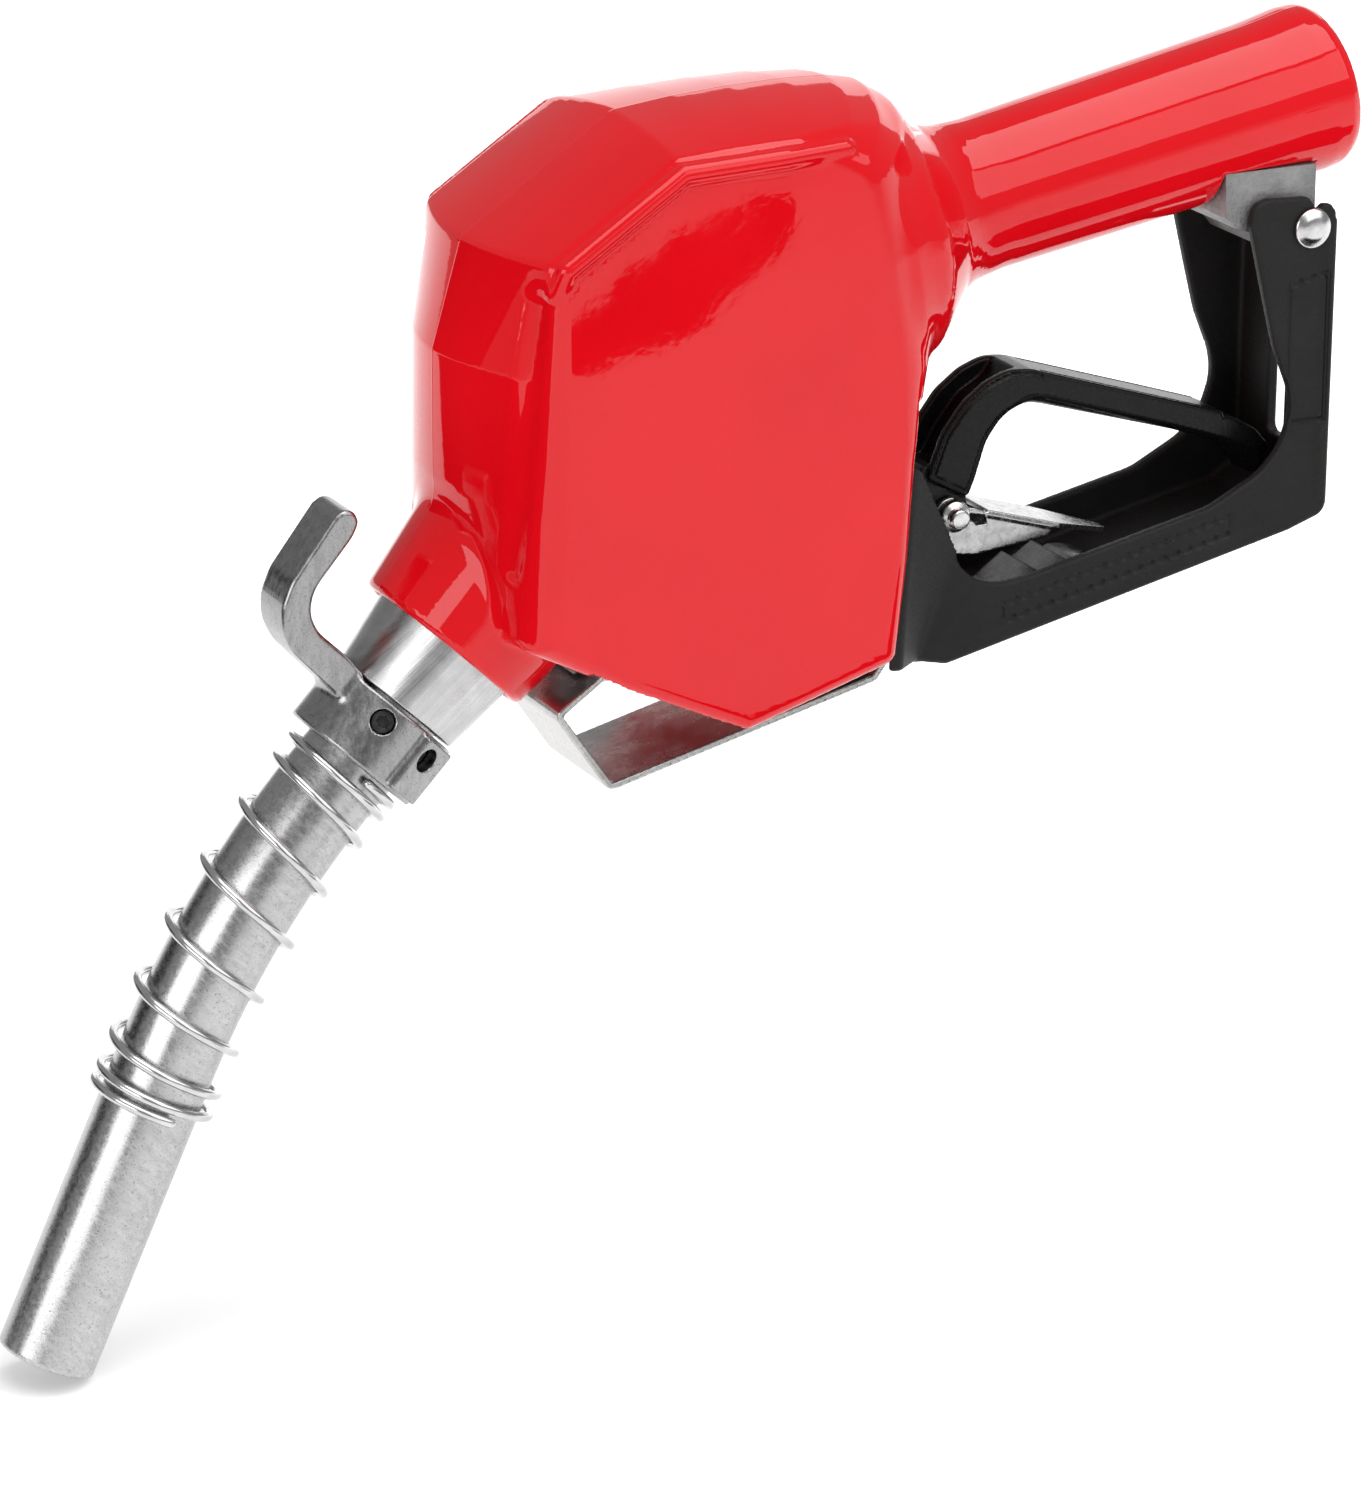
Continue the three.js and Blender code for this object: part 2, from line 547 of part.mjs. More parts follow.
// The front flaps spread from the guard's walls into the space between the body's skirts.
function guardFlap(sign) {
  const rear = sign * GUARD_HALF_WIDTH;
  const front = sign * (SKIRT_HALF_GAP - 0.7);
  const wall = -sign * GUARD_WALL;
  return loft([
    [[45.4, rear, 18.2], [54, rear, 40.4], [54, rear + wall, 40.4], [45.4, rear + wall, 18.2]],
    [[35, front, 20.6], [38, front, 64.5], [38, front + wall, 64.5], [35, front + wall, 20.6]],
  ], [1, 2]);
}

const guardBody = union(
  prism(GUARD_SIDE, -GUARD_HALF_WIDTH, -innerGuard),
  prism(GUARD_SIDE, innerGuard, GUARD_HALF_WIDTH),
  prism(GUARD_FLOOR, -GUARD_HALF_WIDTH, GUARD_HALF_WIDTH),
  prism(GUARD_BACK, -GUARD_HALF_WIDTH, GUARD_HALF_WIDTH),
  guardFlap(-1),
  guardFlap(1),
);
const GUARD_SCREW_X = 56;
const GUARD_SCREW_HOLE = 2.3;
const GUARD_BACK_SLOT = block(139, 150, -3.4, 3.4, 50, 88);
piece('lever_guard', cut(
  guardBody,
  GUARD_BACK_SLOT,
  crossRod(RIVET_HOLE, 30, GUARD_RIVET),
  rod(GUARD_SCREW_HOLE, 0, 40, vertical(GUARD_SCREW_X), UP, 12),
), 'plastic');
piece('guard_rivet', turned([
  [0, -19.6], [2.4, -19.3], [4.2, -18.4], [4.4, -17.8], [3, -17.8],
  [3, 17.8], [4.4, 17.8], [4.2, 18.4], [2.4, 19.3], [0, 19.6],
], vertical(...GUARD_RIVET), ACROSS, 12), 'steel');

// The rack of notches that lies on the guard's floor.
const FLOOR_SLOPE = 18 / 82.8;
const floorTop = (x) => 19.3 + (x - 53) * FLOOR_SLOPE;
const RACK_START = 71;
const RACK_END = 96;
const RACK_TOOTH = 7;
const RACK_HALF_WIDTH = 9;
const rackTeeth = [0, 1, 2].flatMap((tooth) => {
  const x = RACK_START + 2 + tooth * RACK_TOOTH;
  return [
    [x, floorTop(x) + 2.2],
    [x + RACK_TOOTH - 0.8, floorTop(x) + 4.4],
    [x + RACK_TOOTH - 0.4, floorTop(x) + 3.4],
  ];
});
piece('hold_open_rack', prism([
  [RACK_START, floorTop(RACK_START) + GAP], ...rackTeeth, [RACK_END, floorTop(RACK_END) + 1.4],
  [RACK_END, floorTop(RACK_END) + GAP],
], -RACK_HALF_WIDTH, RACK_HALF_WIDTH), 'strap');

// The strap runs from the casting's foot, down and back under the lever, to the guard's floor.
const STRAP_LINE = [
  [-20.6, 26.4], [-34.4, 16.9], [-22.7, -0.2], [38, 14.4], [44, 22.6], [62, 22.9],
];
const strapOutline = () => {
  const inner = [];
  const outer = [];
  STRAP_LINE.forEach(([x, z], i) => {
    const before = STRAP_LINE[Math.max(0, i - 1)];
    const after = STRAP_LINE[Math.min(STRAP_LINE.length - 1, i + 1)];
    const first = new THREE.Vector2(x - before[0], z - before[1]);
    const second = new THREE.Vector2(after[0] - x, after[1] - z);
    if (i === 0) first.copy(second);
    if (i === STRAP_LINE.length - 1) second.copy(first);
    first.normalize();
    second.normalize();
    const side = new THREE.Vector2(-first.y - second.y, first.x + second.x).normalize();
    const reach = STRAP_SHEET / 2 / side.dot(new THREE.Vector2(-first.y, first.x));
    inner.push([x + side.x * reach, z + side.y * reach]);
    outer.unshift([x - side.x * reach, z - side.y * reach]);
  });
  return [...inner, ...outer];
};
piece('guard_strap', cut(
  prism(strapOutline(), -STRAP_HALF_WIDTH, STRAP_HALF_WIDTH),
  rod(FOOT_SCREW_HOLE, -6, 6, footScrew, footNormal, 12),
  rod(GUARD_SCREW_HOLE, 0, 40, vertical(GUARD_SCREW_X), UP, 12),
), 'strap');

// Screws, each with a round head and a hexagon socket.
function screw(name, shank, head, length, from, axis) {
  const outside = union(
    rod(shank, 0, length, from, axis, 12),
    turned([[0, -2.2], [head - 0.6, -2.2], [head, -1.4], [head, 0], [0, 0]], from, axis, 14),
  );
  piece(name, cut(outside, hexagon(head * 0.45, -3, -1, from, axis)), 'steel');
}
const footHead = footScrew.clone().addScaledVector(footNormal, -STRAP_SHEET / 2 - GAP);
screw('strap_front_screw', 1.8, 3.4, 9, footHead, footNormal);
screw('strap_rear_screw', 2, 3.6, 6.6, vertical(GUARD_SCREW_X, 24), UP.clone().negate());

// ---------------------------------------------------------------- spout end

const spoutLine = alongSpout(0);
piece('spout_adapter', turned([
  [6.5, -26], [12, -26], [12, -22], [14.4, -21.6], [14.4, -20], [12.7, -20], [12.7, -17], [14.4, -17],
  [14.4, -2.6], [16.2, -2.6], [16.2, -0.6], [14.2, 15.2], [10.7, 15.2], [10.7, -8], [7.4, -8], [7.4, -10],
  [9.6, -10], [9.6, -24], [6.5, -24], [6.5, -26],
], spoutLine, spoutAxis, 20), 'zinc');
piece('adapter_o_ring', oRing(13.75, 0.8, -18.5, spoutLine, spoutAxis), 'rubber');
piece('check_poppet', turned([
  [0, -29], [3, -29], [3, -23.7], [8.8, -23.7], [8.8, -22], [3, -20.6], [3, -16], [0, -16],
], spoutLine, spoutAxis, 16), 'brass');
piece('check_spring', coil(0.6, 6.6, -20.7, -10.9, 3, spoutLine, spoutAxis), 'steel');

// The spout's centreline: straight, a long bend, then straight again.
class SpoutCurve extends THREE.Curve {
  constructor(start, end, drop = 0) {
    super();
    this.start = start;
    this.end = end;
    this.drop = drop;                  // distance below the centreline
  }

  static at(s) {
    const bend = SPOUT_BEND_RADIUS * SPOUT_BEND * DEG;
    const turned = Math.min(Math.max(s - SPOUT_STRAIGHT, 0), bend) / SPOUT_BEND_RADIUS / DEG;
    const centre = alongSpout(SPOUT_STRAIGHT).addScaledVector(spoutUpper, -SPOUT_BEND_RADIUS);
    const direction = inPlane(180 + SPOUT_ANGLE + turned);
    const upper = inPlane(90 + SPOUT_ANGLE + turned);
    const point = centre.addScaledVector(upper, SPOUT_BEND_RADIUS);
    const before = Math.min(s - SPOUT_STRAIGHT, 0);
    const after = Math.max(s - SPOUT_STRAIGHT - bend, 0);
    point.addScaledVector(direction, before + after);
    return { point, direction, upper };
  }

  getPoint(t, target = new THREE.Vector3()) {
    const { point, upper } = SpoutCurve.at(this.start + (this.end - this.start) * t);
    return target.copy(point).addScaledVector(upper, -this.drop);
  }
}

const SPOUT_END = SPOUT_STRAIGHT + SPOUT_BEND_RADIUS * SPOUT_BEND * DEG + SPOUT_TAIL;
const ventHole = SpoutCurve.at(SPOUT_END - 14);
piece('spout_tube', cut(
  swept(new SpoutCurve(-7.7, SPOUT_END), 14, SPOUT_RADIUS, 18, SPOUT_RADIUS - SPOUT_WALL),
  rod(1.4, 4, 20, ventHole.point, ventHole.upper.clone().negate(), 10),
), 'zinc');
piece('vent_tube', swept(new SpoutCurve(-4, SPOUT_END - 12, 6.3), 14, 1.8, 6, 1), 'steel');

// The wire spring round the spout: the pitch of each turn, close at both ends.
const SPRING_START = 31.4;
const SPRING_PITCHES = [2.6, 6, 13, 13.2, 13.4, 13, 11, 5, 2.4];
const SPRING_WIRE = 1;
const SPRING_RADIUS = 12.2;

class SpoutSpringCurve extends THREE.Curve {
  getPoint(t, target = new THREE.Vector3()) {
    const turns = SPRING_PITCHES.length * t;
    const whole = Math.min(Math.floor(turns), SPRING_PITCHES.length - 1);
    const before = SPRING_PITCHES.slice(0, whole).reduce((sum, pitch) => sum + pitch, 0);
    const { point, upper } = SpoutCurve.at(SPRING_START + before + (turns - whole) * SPRING_PITCHES[whole]);
    return target.copy(point)
      .addScaledVector(ACROSS, -SPRING_RADIUS * Math.cos(turns * 2 * Math.PI))
      .addScaledVector(upper, -SPRING_RADIUS * Math.sin(turns * 2 * Math.PI));
  }
}
piece('spout_spring', swept(new SpoutSpringCurve(), SPRING_PITCHES.length * 11, SPRING_WIRE, 5), 'steel');

// The collar clamped on the spout, with the hook it hangs by.
const HOOK_OUTLINE = [
  [-68, 21], [-76.6, 33.2], [-83.2, 39.6], [-84.9, 43.6], [-84, 48.4], [-75.2, 58.6], [-74, 61.4],
  [-75, 63.8], [-77.4, 64.2], [-79.3, 63], [-88.8, 50.8], [-91, 45.6], [-90.8, 40.4], [-88.6, 35.8],
  [-77.8, 24.2], [-74, 16],
];
// Each screw's number, its place along the spout and its turn from the near side.
const COLLAR_SCREWS = [[1, 19.9, 27.4], [2, 20.4, -20], [3, 23, 165]];
const roundTheSpout = (turn) => ACROSS.clone().multiplyScalar(-Math.cos(turn * DEG))
  .addScaledVector(spoutUpper, Math.sin(turn * DEG));

const collarRing = ring(10.7, COLLAR_RADIUS, COLLAR_START, COLLAR_END, spoutLine, spoutAxis, 20);
const bossGeometry = new THREE.BoxGeometry(6, COLLAR_END - COLLAR_START - 1.4, 9.6);
const bossFacing = roundTheSpout(-24);
const bossAside = bossFacing.clone().cross(spoutAxis);
bossGeometry.applyMatrix4(new THREE.Matrix4().makeBasis(bossFacing, spoutAxis, bossAside));
const bossCentre = alongSpout((COLLAR_START + COLLAR_END) / 2).addScaledVector(bossFacing, 13.3);
bossGeometry.translate(bossCentre.x, bossCentre.y, bossCentre.z);
piece('hook_collar', cut(
  union(collarRing, prism(HOOK_OUTLINE, -HOOK_HALF_WIDTH, HOOK_HALF_WIDTH), solidOf(bossGeometry)),
  rod(10.7, COLLAR_START - 2, COLLAR_END + 6, spoutLine, spoutAxis, 20),
  rod(14.6, -5, COLLAR_START, spoutLine, spoutAxis, 20),
  ...COLLAR_SCREWS.map(([, place, turn]) => rod(2.5, 8, 20, alongSpout(place), roundTheSpout(turn), 12)),
), 'zinc');
for (const [number, place, turn] of COLLAR_SCREWS) {
  const [at, out] = [alongSpout(place), roundTheSpout(turn)];
  const screwBody = rod(2.3, 10.7, 14.6, at, out, 12);
  piece(`collar_set_screw_${number}`, cut(screwBody, hexagon(1.2, 12.4, 16, at, out)), 'steel');
}

// ---------------------------------------------------------------- origin at the hose inlet

const inlet = alongHandle(INLET_FACE);
pieces.position.set(-inlet.x, 0, -inlet.z);
const nozzle = new THREE.Group();
nozzle.name = 'fuel_nozzle';
nozzle.add(pieces);

export default nozzle;
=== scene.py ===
import json
import math

import bmesh
import bpy
import numpy as np
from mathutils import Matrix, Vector


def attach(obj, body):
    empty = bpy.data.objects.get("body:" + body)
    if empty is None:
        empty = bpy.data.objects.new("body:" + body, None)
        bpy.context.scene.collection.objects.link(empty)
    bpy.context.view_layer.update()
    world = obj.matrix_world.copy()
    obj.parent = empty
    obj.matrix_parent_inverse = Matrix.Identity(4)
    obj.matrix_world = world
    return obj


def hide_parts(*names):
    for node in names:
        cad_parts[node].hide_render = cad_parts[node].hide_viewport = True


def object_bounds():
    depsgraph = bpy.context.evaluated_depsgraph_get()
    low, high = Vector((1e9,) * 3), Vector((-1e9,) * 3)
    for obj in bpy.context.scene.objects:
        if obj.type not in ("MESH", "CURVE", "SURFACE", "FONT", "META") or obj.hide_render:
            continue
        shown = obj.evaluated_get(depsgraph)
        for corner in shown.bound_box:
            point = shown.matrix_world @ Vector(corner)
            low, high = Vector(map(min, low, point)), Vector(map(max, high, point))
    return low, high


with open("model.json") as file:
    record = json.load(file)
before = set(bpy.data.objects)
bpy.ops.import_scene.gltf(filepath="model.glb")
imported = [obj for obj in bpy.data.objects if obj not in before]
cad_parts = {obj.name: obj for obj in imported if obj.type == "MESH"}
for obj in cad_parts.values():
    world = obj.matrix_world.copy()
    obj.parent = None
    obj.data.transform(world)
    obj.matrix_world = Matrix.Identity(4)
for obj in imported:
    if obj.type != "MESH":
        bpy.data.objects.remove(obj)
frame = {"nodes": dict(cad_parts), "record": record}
cad_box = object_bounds()

# The pieces are laid out in millimetres above the lowest bend of the strap, X towards the hose,
# Y across and Z up, and in_frame() takes them to the frame, whose origin is the hose inlet.
MM = 0.001

# Driving dimensions, the same as the CAD model's
BODY_HALF_WIDTH = 33.0
COVER_WALL = 2.5
BODY_EDGE = 3.0  # radius of the body's outer edges
SKIRT_HALF_GAP = 30.4
SPOUT_START = (-54.0, 31.0)  # x, z of the boot's rim on the spout's centreline
SPOUT_ANGLE = 46.0  # degrees below the horizontal
SPOUT_STRAIGHT = 36.0
SPOUT_BEND_RADIUS = 200.0
SPOUT_BEND = 19.0
SPOUT_TAIL = 66.0
SPOUT_RADIUS = 10.3
SPOUT_WALL = 1.4
BOOT_RADIUS = 19.5
BOOT_FLARE = 0.12
HANDLE_END = (149.0, 126.3)
HANDLE_ANGLE = 10.6
INLET_FACE = -1.0
INLET_RADIUS = 12.6
LATCH_X = -14.0
PIVOT = (LATCH_X, 24.0)
LEVER_HALF_WIDTH = 7.0
LEVER_LUG_HALF_WIDTH = 5.2
FORK_HALF_GAP = 4.2
CLIP_PIVOT = (59.3, 45.1)
CLIP_HALF_WIDTH = 6.9
CLIP_SHEET = 1.2
GUARD_HALF_WIDTH = 17.5
GUARD_WALL = 2.6
GUARD_RIVET = (138.5, 100.1)
GUARD_SCREW_X = 56.0
STRAP_HALF_WIDTH = 14.0
STRAP_SHEET = 1.5
COLLAR_START = 15.8  # along the spout line
COLLAR_END = 29.8
COLLAR_RADIUS = 15.0
HOOK_HALF_WIDTH = 6.3

PIN_HOLE_PLAY = 0.25  # added to a pin's radius for the hole that it turns in
LEVER_PIN_RADIUS = 1.95
CLIP_RIVET_RADIUS = 2.55
GUARD_SCREW_HOLE = 2.3
SET_SCREW_RADIUS = 2.3

ACROSS = np.array([0.0, 1.0, 0.0])
UP = np.array([0.0, 0.0, 1.0])


def in_plane(degrees):
    """A unit direction in the plane of symmetry, turned up from +X."""
    turn = np.radians(degrees)
    return np.stack([np.cos(turn), np.zeros_like(turn), np.sin(turn)], -1)


HANDLE_AXIS = in_plane(HANDLE_ANGLE)
HANDLE_POINT = np.array([HANDLE_END[0], 0.0, HANDLE_END[1]])
SPOUT_AXIS = in_plane(180 + SPOUT_ANGLE)
SPOUT_UPPER = in_plane(90 + SPOUT_ANGLE)  # square to the spout line, towards the hook
SPOUT_POINT = np.array([SPOUT_START[0], 0.0, SPOUT_START[1]])
INLET = HANDLE_POINT + INLET_FACE * HANDLE_AXIS


def in_frame(points):
    """Layout millimetres to metres in the frame."""
    return (np.asarray(points, float) - INLET) * MM


# ---- camera

CAMERA_AZIMUTH = -26.0
CAMERA_ELEVATION = 19.5
CAMERA_DISTANCE = 1.248
CAMERA_LENS = 144.0


def towards(azimuth, elevation):
    """A direction, from degrees; azimuth 0 is the near side and 90 the hose."""
    a, e = math.radians(azimuth), math.radians(elevation)
    return Vector((math.sin(a) * math.cos(e), -math.cos(a) * math.cos(e), math.sin(e)))


def placed(name, data, middle, away, distance):
    """A camera or light that looks back at a point from a distance."""
    thing = bpy.data.objects.new(name, data)
    thing.location = Vector(in_frame(middle)) + away * distance
    thing.rotation_mode = "QUATERNION"
    thing.rotation_quaternion = away.to_track_quat("Z", "Y")
    bpy.context.scene.collection.objects.link(thing)
    return thing


def make_camera():
    data = bpy.data.cameras.new("camera")
    data.lens = CAMERA_LENS
    data.sensor_width = 36.0
    data.clip_start = 0.05
    data.clip_end = 50.0
    away = towards(CAMERA_AZIMUTH, CAMERA_ELEVATION)
    bpy.context.scene.camera = placed("camera", data, (0, 0, 0), away, CAMERA_DISTANCE)


make_camera()

# ---- fields
# A field is a function of x, y and z that is negative inside a shape and positive outside it,
# and close to the distance from its surface. Fields are joined and cut with rounded edges.


def length(*parts):
    return np.sqrt(sum(part * part for part in parts))


def both(a, b, edge=0.0):
    """What two shapes share, with its edges rounded to a radius."""
    outside = length(np.maximum(a + edge, 0), np.maximum(b + edge, 0))
    return np.minimum(np.maximum(a, b) + edge, 0) + outside - edge


def either(a, b, fillet=0.0):
    """Two shapes together, with a hollow fillet between them."""
    if fillet <= 0:
        return np.minimum(a, b)
    near = np.maximum(fillet - np.abs(a - b), 0) / fillet
    return np.minimum(a, b) - near * near * fillet / 4


def without(a, b, edge=0.0):
    return both(a, -b, edge)


def slab(value, low, high):
    return np.abs(value - (low + high) / 2) - (high - low) / 2


def outline(u, v, corners):
    """Signed distance to a closed outline; a corner's two numbers may be arrays."""
    nearest = None
    sign = 1.0
    for i, (bu, bv) in enumerate(corners):
        au, av = corners[i - 1]
        du, dv = bu - au, bv - av
        pu, pv = u - au, v - av
        share = np.clip((pu * du + pv * dv) / (du * du + dv * dv), 0, 1)
        square = (pu - du * share) ** 2 + (pv - dv * share) ** 2
        nearest = square if nearest is None else np.minimum(nearest, square)
        above = v >= av
        below = v < bv
        left = du * pv > dv * pu
        flips = (above & below & left) | (~above & ~below & ~left)
        sign = sign * np.where(flips, -1.0, 1.0)
    return np.sqrt(nearest) * sign


def chain(x, y, z, points):
    """Distance to a broken line through points."""
    nearest = None
    for (ax, ay, az), (bx, by, bz) in zip(points, points[1:]):
        dx, dy, dz = bx - ax, by - ay, bz - az
        share = ((x - ax) * dx + (y - ay) * dy + (z - az) * dz) / (dx * dx + dy * dy + dz * dz)
        share = np.clip(share, 0, 1)
        here = length(x - ax - share * dx, y - ay - share * dy, z - az - share * dz)
        nearest = here if nearest is None else np.minimum(nearest, here)
    return nearest


def reach(x, y, z, point, axis):
    """Distance from a point in one direction."""
    return (x - point[0]) * axis[0] + (y - point[1]) * axis[1] + (z - point[2]) * axis[2]


def beside(x, z, line):
    """Distances along and above a line in the plane of symmetry, and its length."""
    (ax, az), (bx, bz) = line
    span = math.hypot(bx - ax, bz - az)
    along = ((x - ax) * (bx - ax) + (z - az) * (bz - az)) / span
    above = ((z - az) * (bx - ax) - (x - ax) * (bz - az)) / span
    return along, above, span


def about(x, y, z, point, axis):
    """Distance along a line and distance from it."""
    along = reach(x, y, z, point, axis)
    square = (x - point[0]) ** 2 + (y - point[1]) ** 2 + (z - point[2]) ** 2
    return along, np.sqrt(np.maximum(square - along * along, 0))


def cross_hole(x, z, centre, radius):
    """A round hole across the nozzle."""
    return length(x - centre[0], z - centre[1]) - radius


def arc(centre, radius, start, end, steps=8):
    turns = np.radians(np.linspace(start, end, steps + 1))
    return [(centre[0] + radius * math.cos(t), centre[1] + radius * math.sin(t)) for t in turns]


def rounded(corners, radius=3.0, steps=4):
    """An outline with its corners turned into arcs; a corner may give its own radius as a third number."""
    points = []
    for i, corner in enumerate(corners):
        here = np.array(corner[:2], float)
        before = np.array(corners[i - 1][:2], float) - here
        after = np.array(corners[(i + 1) % len(corners)][:2], float) - here
        want = corner[2] if len(corner) > 2 else radius
        spans = np.linalg.norm(before), np.linalg.norm(after)
        before, after = before / spans[0], after / spans[1]
        half = math.acos(np.clip(before @ after, -1, 1)) / 2
        reach = min(want / max(math.tan(half), 1e-6), 0.48 * min(spans))
        if want <= 0 or reach < 1e-3 or half > math.radians(89):
            points.append(tuple(here))
            continue
        middle = (before + after) / np.linalg.norm(before + after)
        size = reach * math.tan(half)
        centre = here + middle * size / math.sin(half)
        first = math.atan2(*(here + before * reach - centre)[::-1])
        last = math.atan2(*(here + after * reach - centre)[::-1])
        sweep = (last - first + math.pi) % (2 * math.pi) - math.pi
        for k in range(steps + 1):
            turn = first + sweep * k / steps
            points.append((centre[0] + size * math.cos(turn), centre[1] + size * math.sin(turn)))
    return points


def shrunk(corners, distance):
    """An outline with every side moved inwards."""
    area = sum(a[0] * b[1] - b[0] * a[1] for a, b in zip(corners, corners[1:] + corners[:1]))
    side = math.copysign(1, area)
    moved = []
    for i, corner in enumerate(corners):
        here = np.array(corner, float)
        first = here - corners[i - 1]
        second = np.array(corners[(i + 1) % len(corners)], float) - here
        normals = [side * np.array((-d[1], d[0])) / np.linalg.norm(d) for d in (first, second)]
        inward = normals[0] + normals[1]
        moved.append(tuple(here + inward * distance / (1 + normals[0] @ normals[1])))
    return moved


def strip(points, thickness, radius):
    """The outline of bent sheet that follows a line of points."""
    points = [np.array(p, float) for p in points]
    left, right = [], []
    for i, here in enumerate(points):
        first = here - points[i - 1] if i > 0 else points[1] - here
        second = points[i + 1] - here if i + 1 < len(points) else first
        first, second = first / np.linalg.norm(first), second / np.linalg.norm(second)
        side = np.array((-first[1] - second[1], first[0] + second[0]))
        side /= np.linalg.norm(side)
        reach = side * thickness / 2 / (side @ (-first[1], first[0]))
        turn = first[0] * second[1] - first[1] * second[0]
        inner, outer = radius, radius + thickness
        left.append((*(here + reach), inner if turn > 0 else outer))
        right.append((*(here - reach), outer if turn > 0 else inner))
    for side_points in (left, right):
        for end in (0, -1):
            side_points[end] = (*side_points[end][:2], 0)
    return rounded(left + right[::-1])


# ---- meshes


def gradient(field, points, step):
    moves = np.eye(3) * step
    slopes = [(field(*(points + move).T) - field(*(points - move).T)) / (2 * step) for move in moves]
    return np.stack(slopes, -1)


def settle(field, points, pitch, rounds):
    """Moves points straight onto a field's surface."""
    for _ in range(rounds):
        slope = gradient(field, points, pitch * 0.05)
        size = np.maximum((slope * slope).sum(1), 0.05)
        move = slope * (field(*points.T) / size)[:, None]
        far = np.linalg.norm(move, axis=1, keepdims=True)
        points = points - move * np.minimum(1, pitch / np.maximum(far, 1e-9))
    return points


def surface(field, low, high, pitch):
    """Points, four-sided faces and normals of a field's surface inside a box."""
    axes = [np.arange(a, b + pitch, pitch, dtype=np.float32) for a, b in zip(low, high)]
    size = tuple(len(a) for a in axes)
    values = field(*np.meshgrid(*axes, indexing="ij", sparse=True))
    values = np.ascontiguousarray(np.broadcast_to(values, size), dtype=np.float32)
    places, quads = [], []
    for axis in range(3):
        first, second = (axis + 1) % 3, (axis + 2) % 3
        lower = np.take(values, np.arange(size[axis] - 1), axis)
        upper = np.take(values, np.arange(1, size[axis]), axis)
        at = np.argwhere((lower < 0) != (upper < 0))
        low_value, high_value = lower[tuple(at.T)], upper[tuple(at.T)]
        crossing = at.astype(float)
        crossing[:, axis] += low_value / (low_value - high_value)
        ring = []
        for back, aside in ((1, 1), (0, 1), (0, 0), (1, 0)):
            cell = at.copy()
            cell[:, first] -= back
            cell[:, second] -= aside
            ring.append(np.ravel_multi_index(tuple(cell.T), size))
        ring = np.stack(ring, 1)
        ring[low_value >= 0] = ring[low_value >= 0][:, ::-1]
        quads.append(ring)
        places.append(np.repeat(crossing, 4, axis=0))
    places = np.concatenate(places)
    _, used = np.unique(np.concatenate(quads).ravel(), return_inverse=True)
    count = np.bincount(used)[:, None]
    points = np.stack([np.bincount(used, place) for place in places.T], -1) / count
    points = settle(field, points * pitch + np.array([a[0] for a in axes], float), pitch, 2)
    faces = used.reshape(-1, 4)
    starts, ends = faces.T.ravel(), np.roll(faces, -1, axis=1).T.ravel()
    total = [np.bincount(starts, place[ends]) + np.bincount(ends, place[starts]) for place in points.T]
    points = settle(field, (points + np.stack(total, -1) / (2 * count)) / 2, pitch, 3)
    normals = gradient(field, points, pitch * 0.05)
    normals /= np.maximum(np.linalg.norm(normals, axis=1, keepdims=True), 1e-9)
    return points, faces.tolist(), normals


def add_mesh(name, points, faces, material):
    """A mesh object, from points in metres."""
    mesh = bpy.data.meshes.new(name)
    mesh.from_pydata(points, [], faces)
    mesh.materials.append(material)
    added = bpy.data.objects.new(name, mesh)
    bpy.context.scene.collection.objects.link(added)
    return added


def add_piece(name, points, faces, material, replaced, body, normals=None):
    piece = add_mesh(name, in_frame(points).tolist(), faces, material)
    piece.data.shade_smooth()
    if normals is not None:
        piece.data.normals_split_custom_set_from_vertices(normals.tolist())
    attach(piece, body)
    if replaced:
        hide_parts(*replaced)
    return piece


def moulded(name, field, low, high, pitch, material, replaced, body="nozzle"):
    points, faces, normals = surface(field, low, high, pitch)
    add_piece(name, points, faces, material, replaced, body, normals)


def rings(count, sides, closed):
    """Four-sided faces between rings of points; a closed set also joins the last ring to the first."""
    faces = []
    for i in range(count if closed else count - 1):
        for k in range(sides):
            a, b = i * sides + k, i * sides + (k + 1) % sides
            shift = ((i + 1) % count) * sides - i * sides
            faces.append((a, b, b + shift, a + shift))
    return faces


def straight_line(point, axis):
    return lambda s: (np.asarray(point) + np.outer(s, axis), np.broadcast_to(axis, (len(s), 3)))


def spout_line(s):
    """Centre and direction along the bent centreline of the spout."""
    s = np.asarray(s, float)
    bend = SPOUT_BEND_RADIUS * math.radians(SPOUT_BEND)
    turn = np.degrees(np.clip(s - SPOUT_STRAIGHT, 0, bend) / SPOUT_BEND_RADIUS)
    hub = SPOUT_POINT + SPOUT_STRAIGHT * SPOUT_AXIS - SPOUT_BEND_RADIUS * SPOUT_UPPER
    direction = in_plane(180 + SPOUT_ANGLE + turn)
    extra = np.minimum(s - SPOUT_STRAIGHT, 0) + np.maximum(s - SPOUT_STRAIGHT - bend, 0)
    centre = hub + SPOUT_BEND_RADIUS * in_plane(90 + SPOUT_ANGLE + turn) + direction * extra[:, None]
    return centre, direction


SPOUT_END = SPOUT_STRAIGHT + SPOUT_BEND_RADIUS * math.radians(SPOUT_BEND) + SPOUT_TAIL


def tube(centres, sizes, across, other, sides):
    """Rings of points round a line of centres."""
    turn = np.linspace(0, 2 * math.pi, sides, endpoint=False)[None, :, None]
    spoke = np.cos(turn) * across[:, None] + np.sin(turn) * other[:, None]
    return (centres[:, None] + spoke * sizes[:, None, None]).reshape(-1, 3)


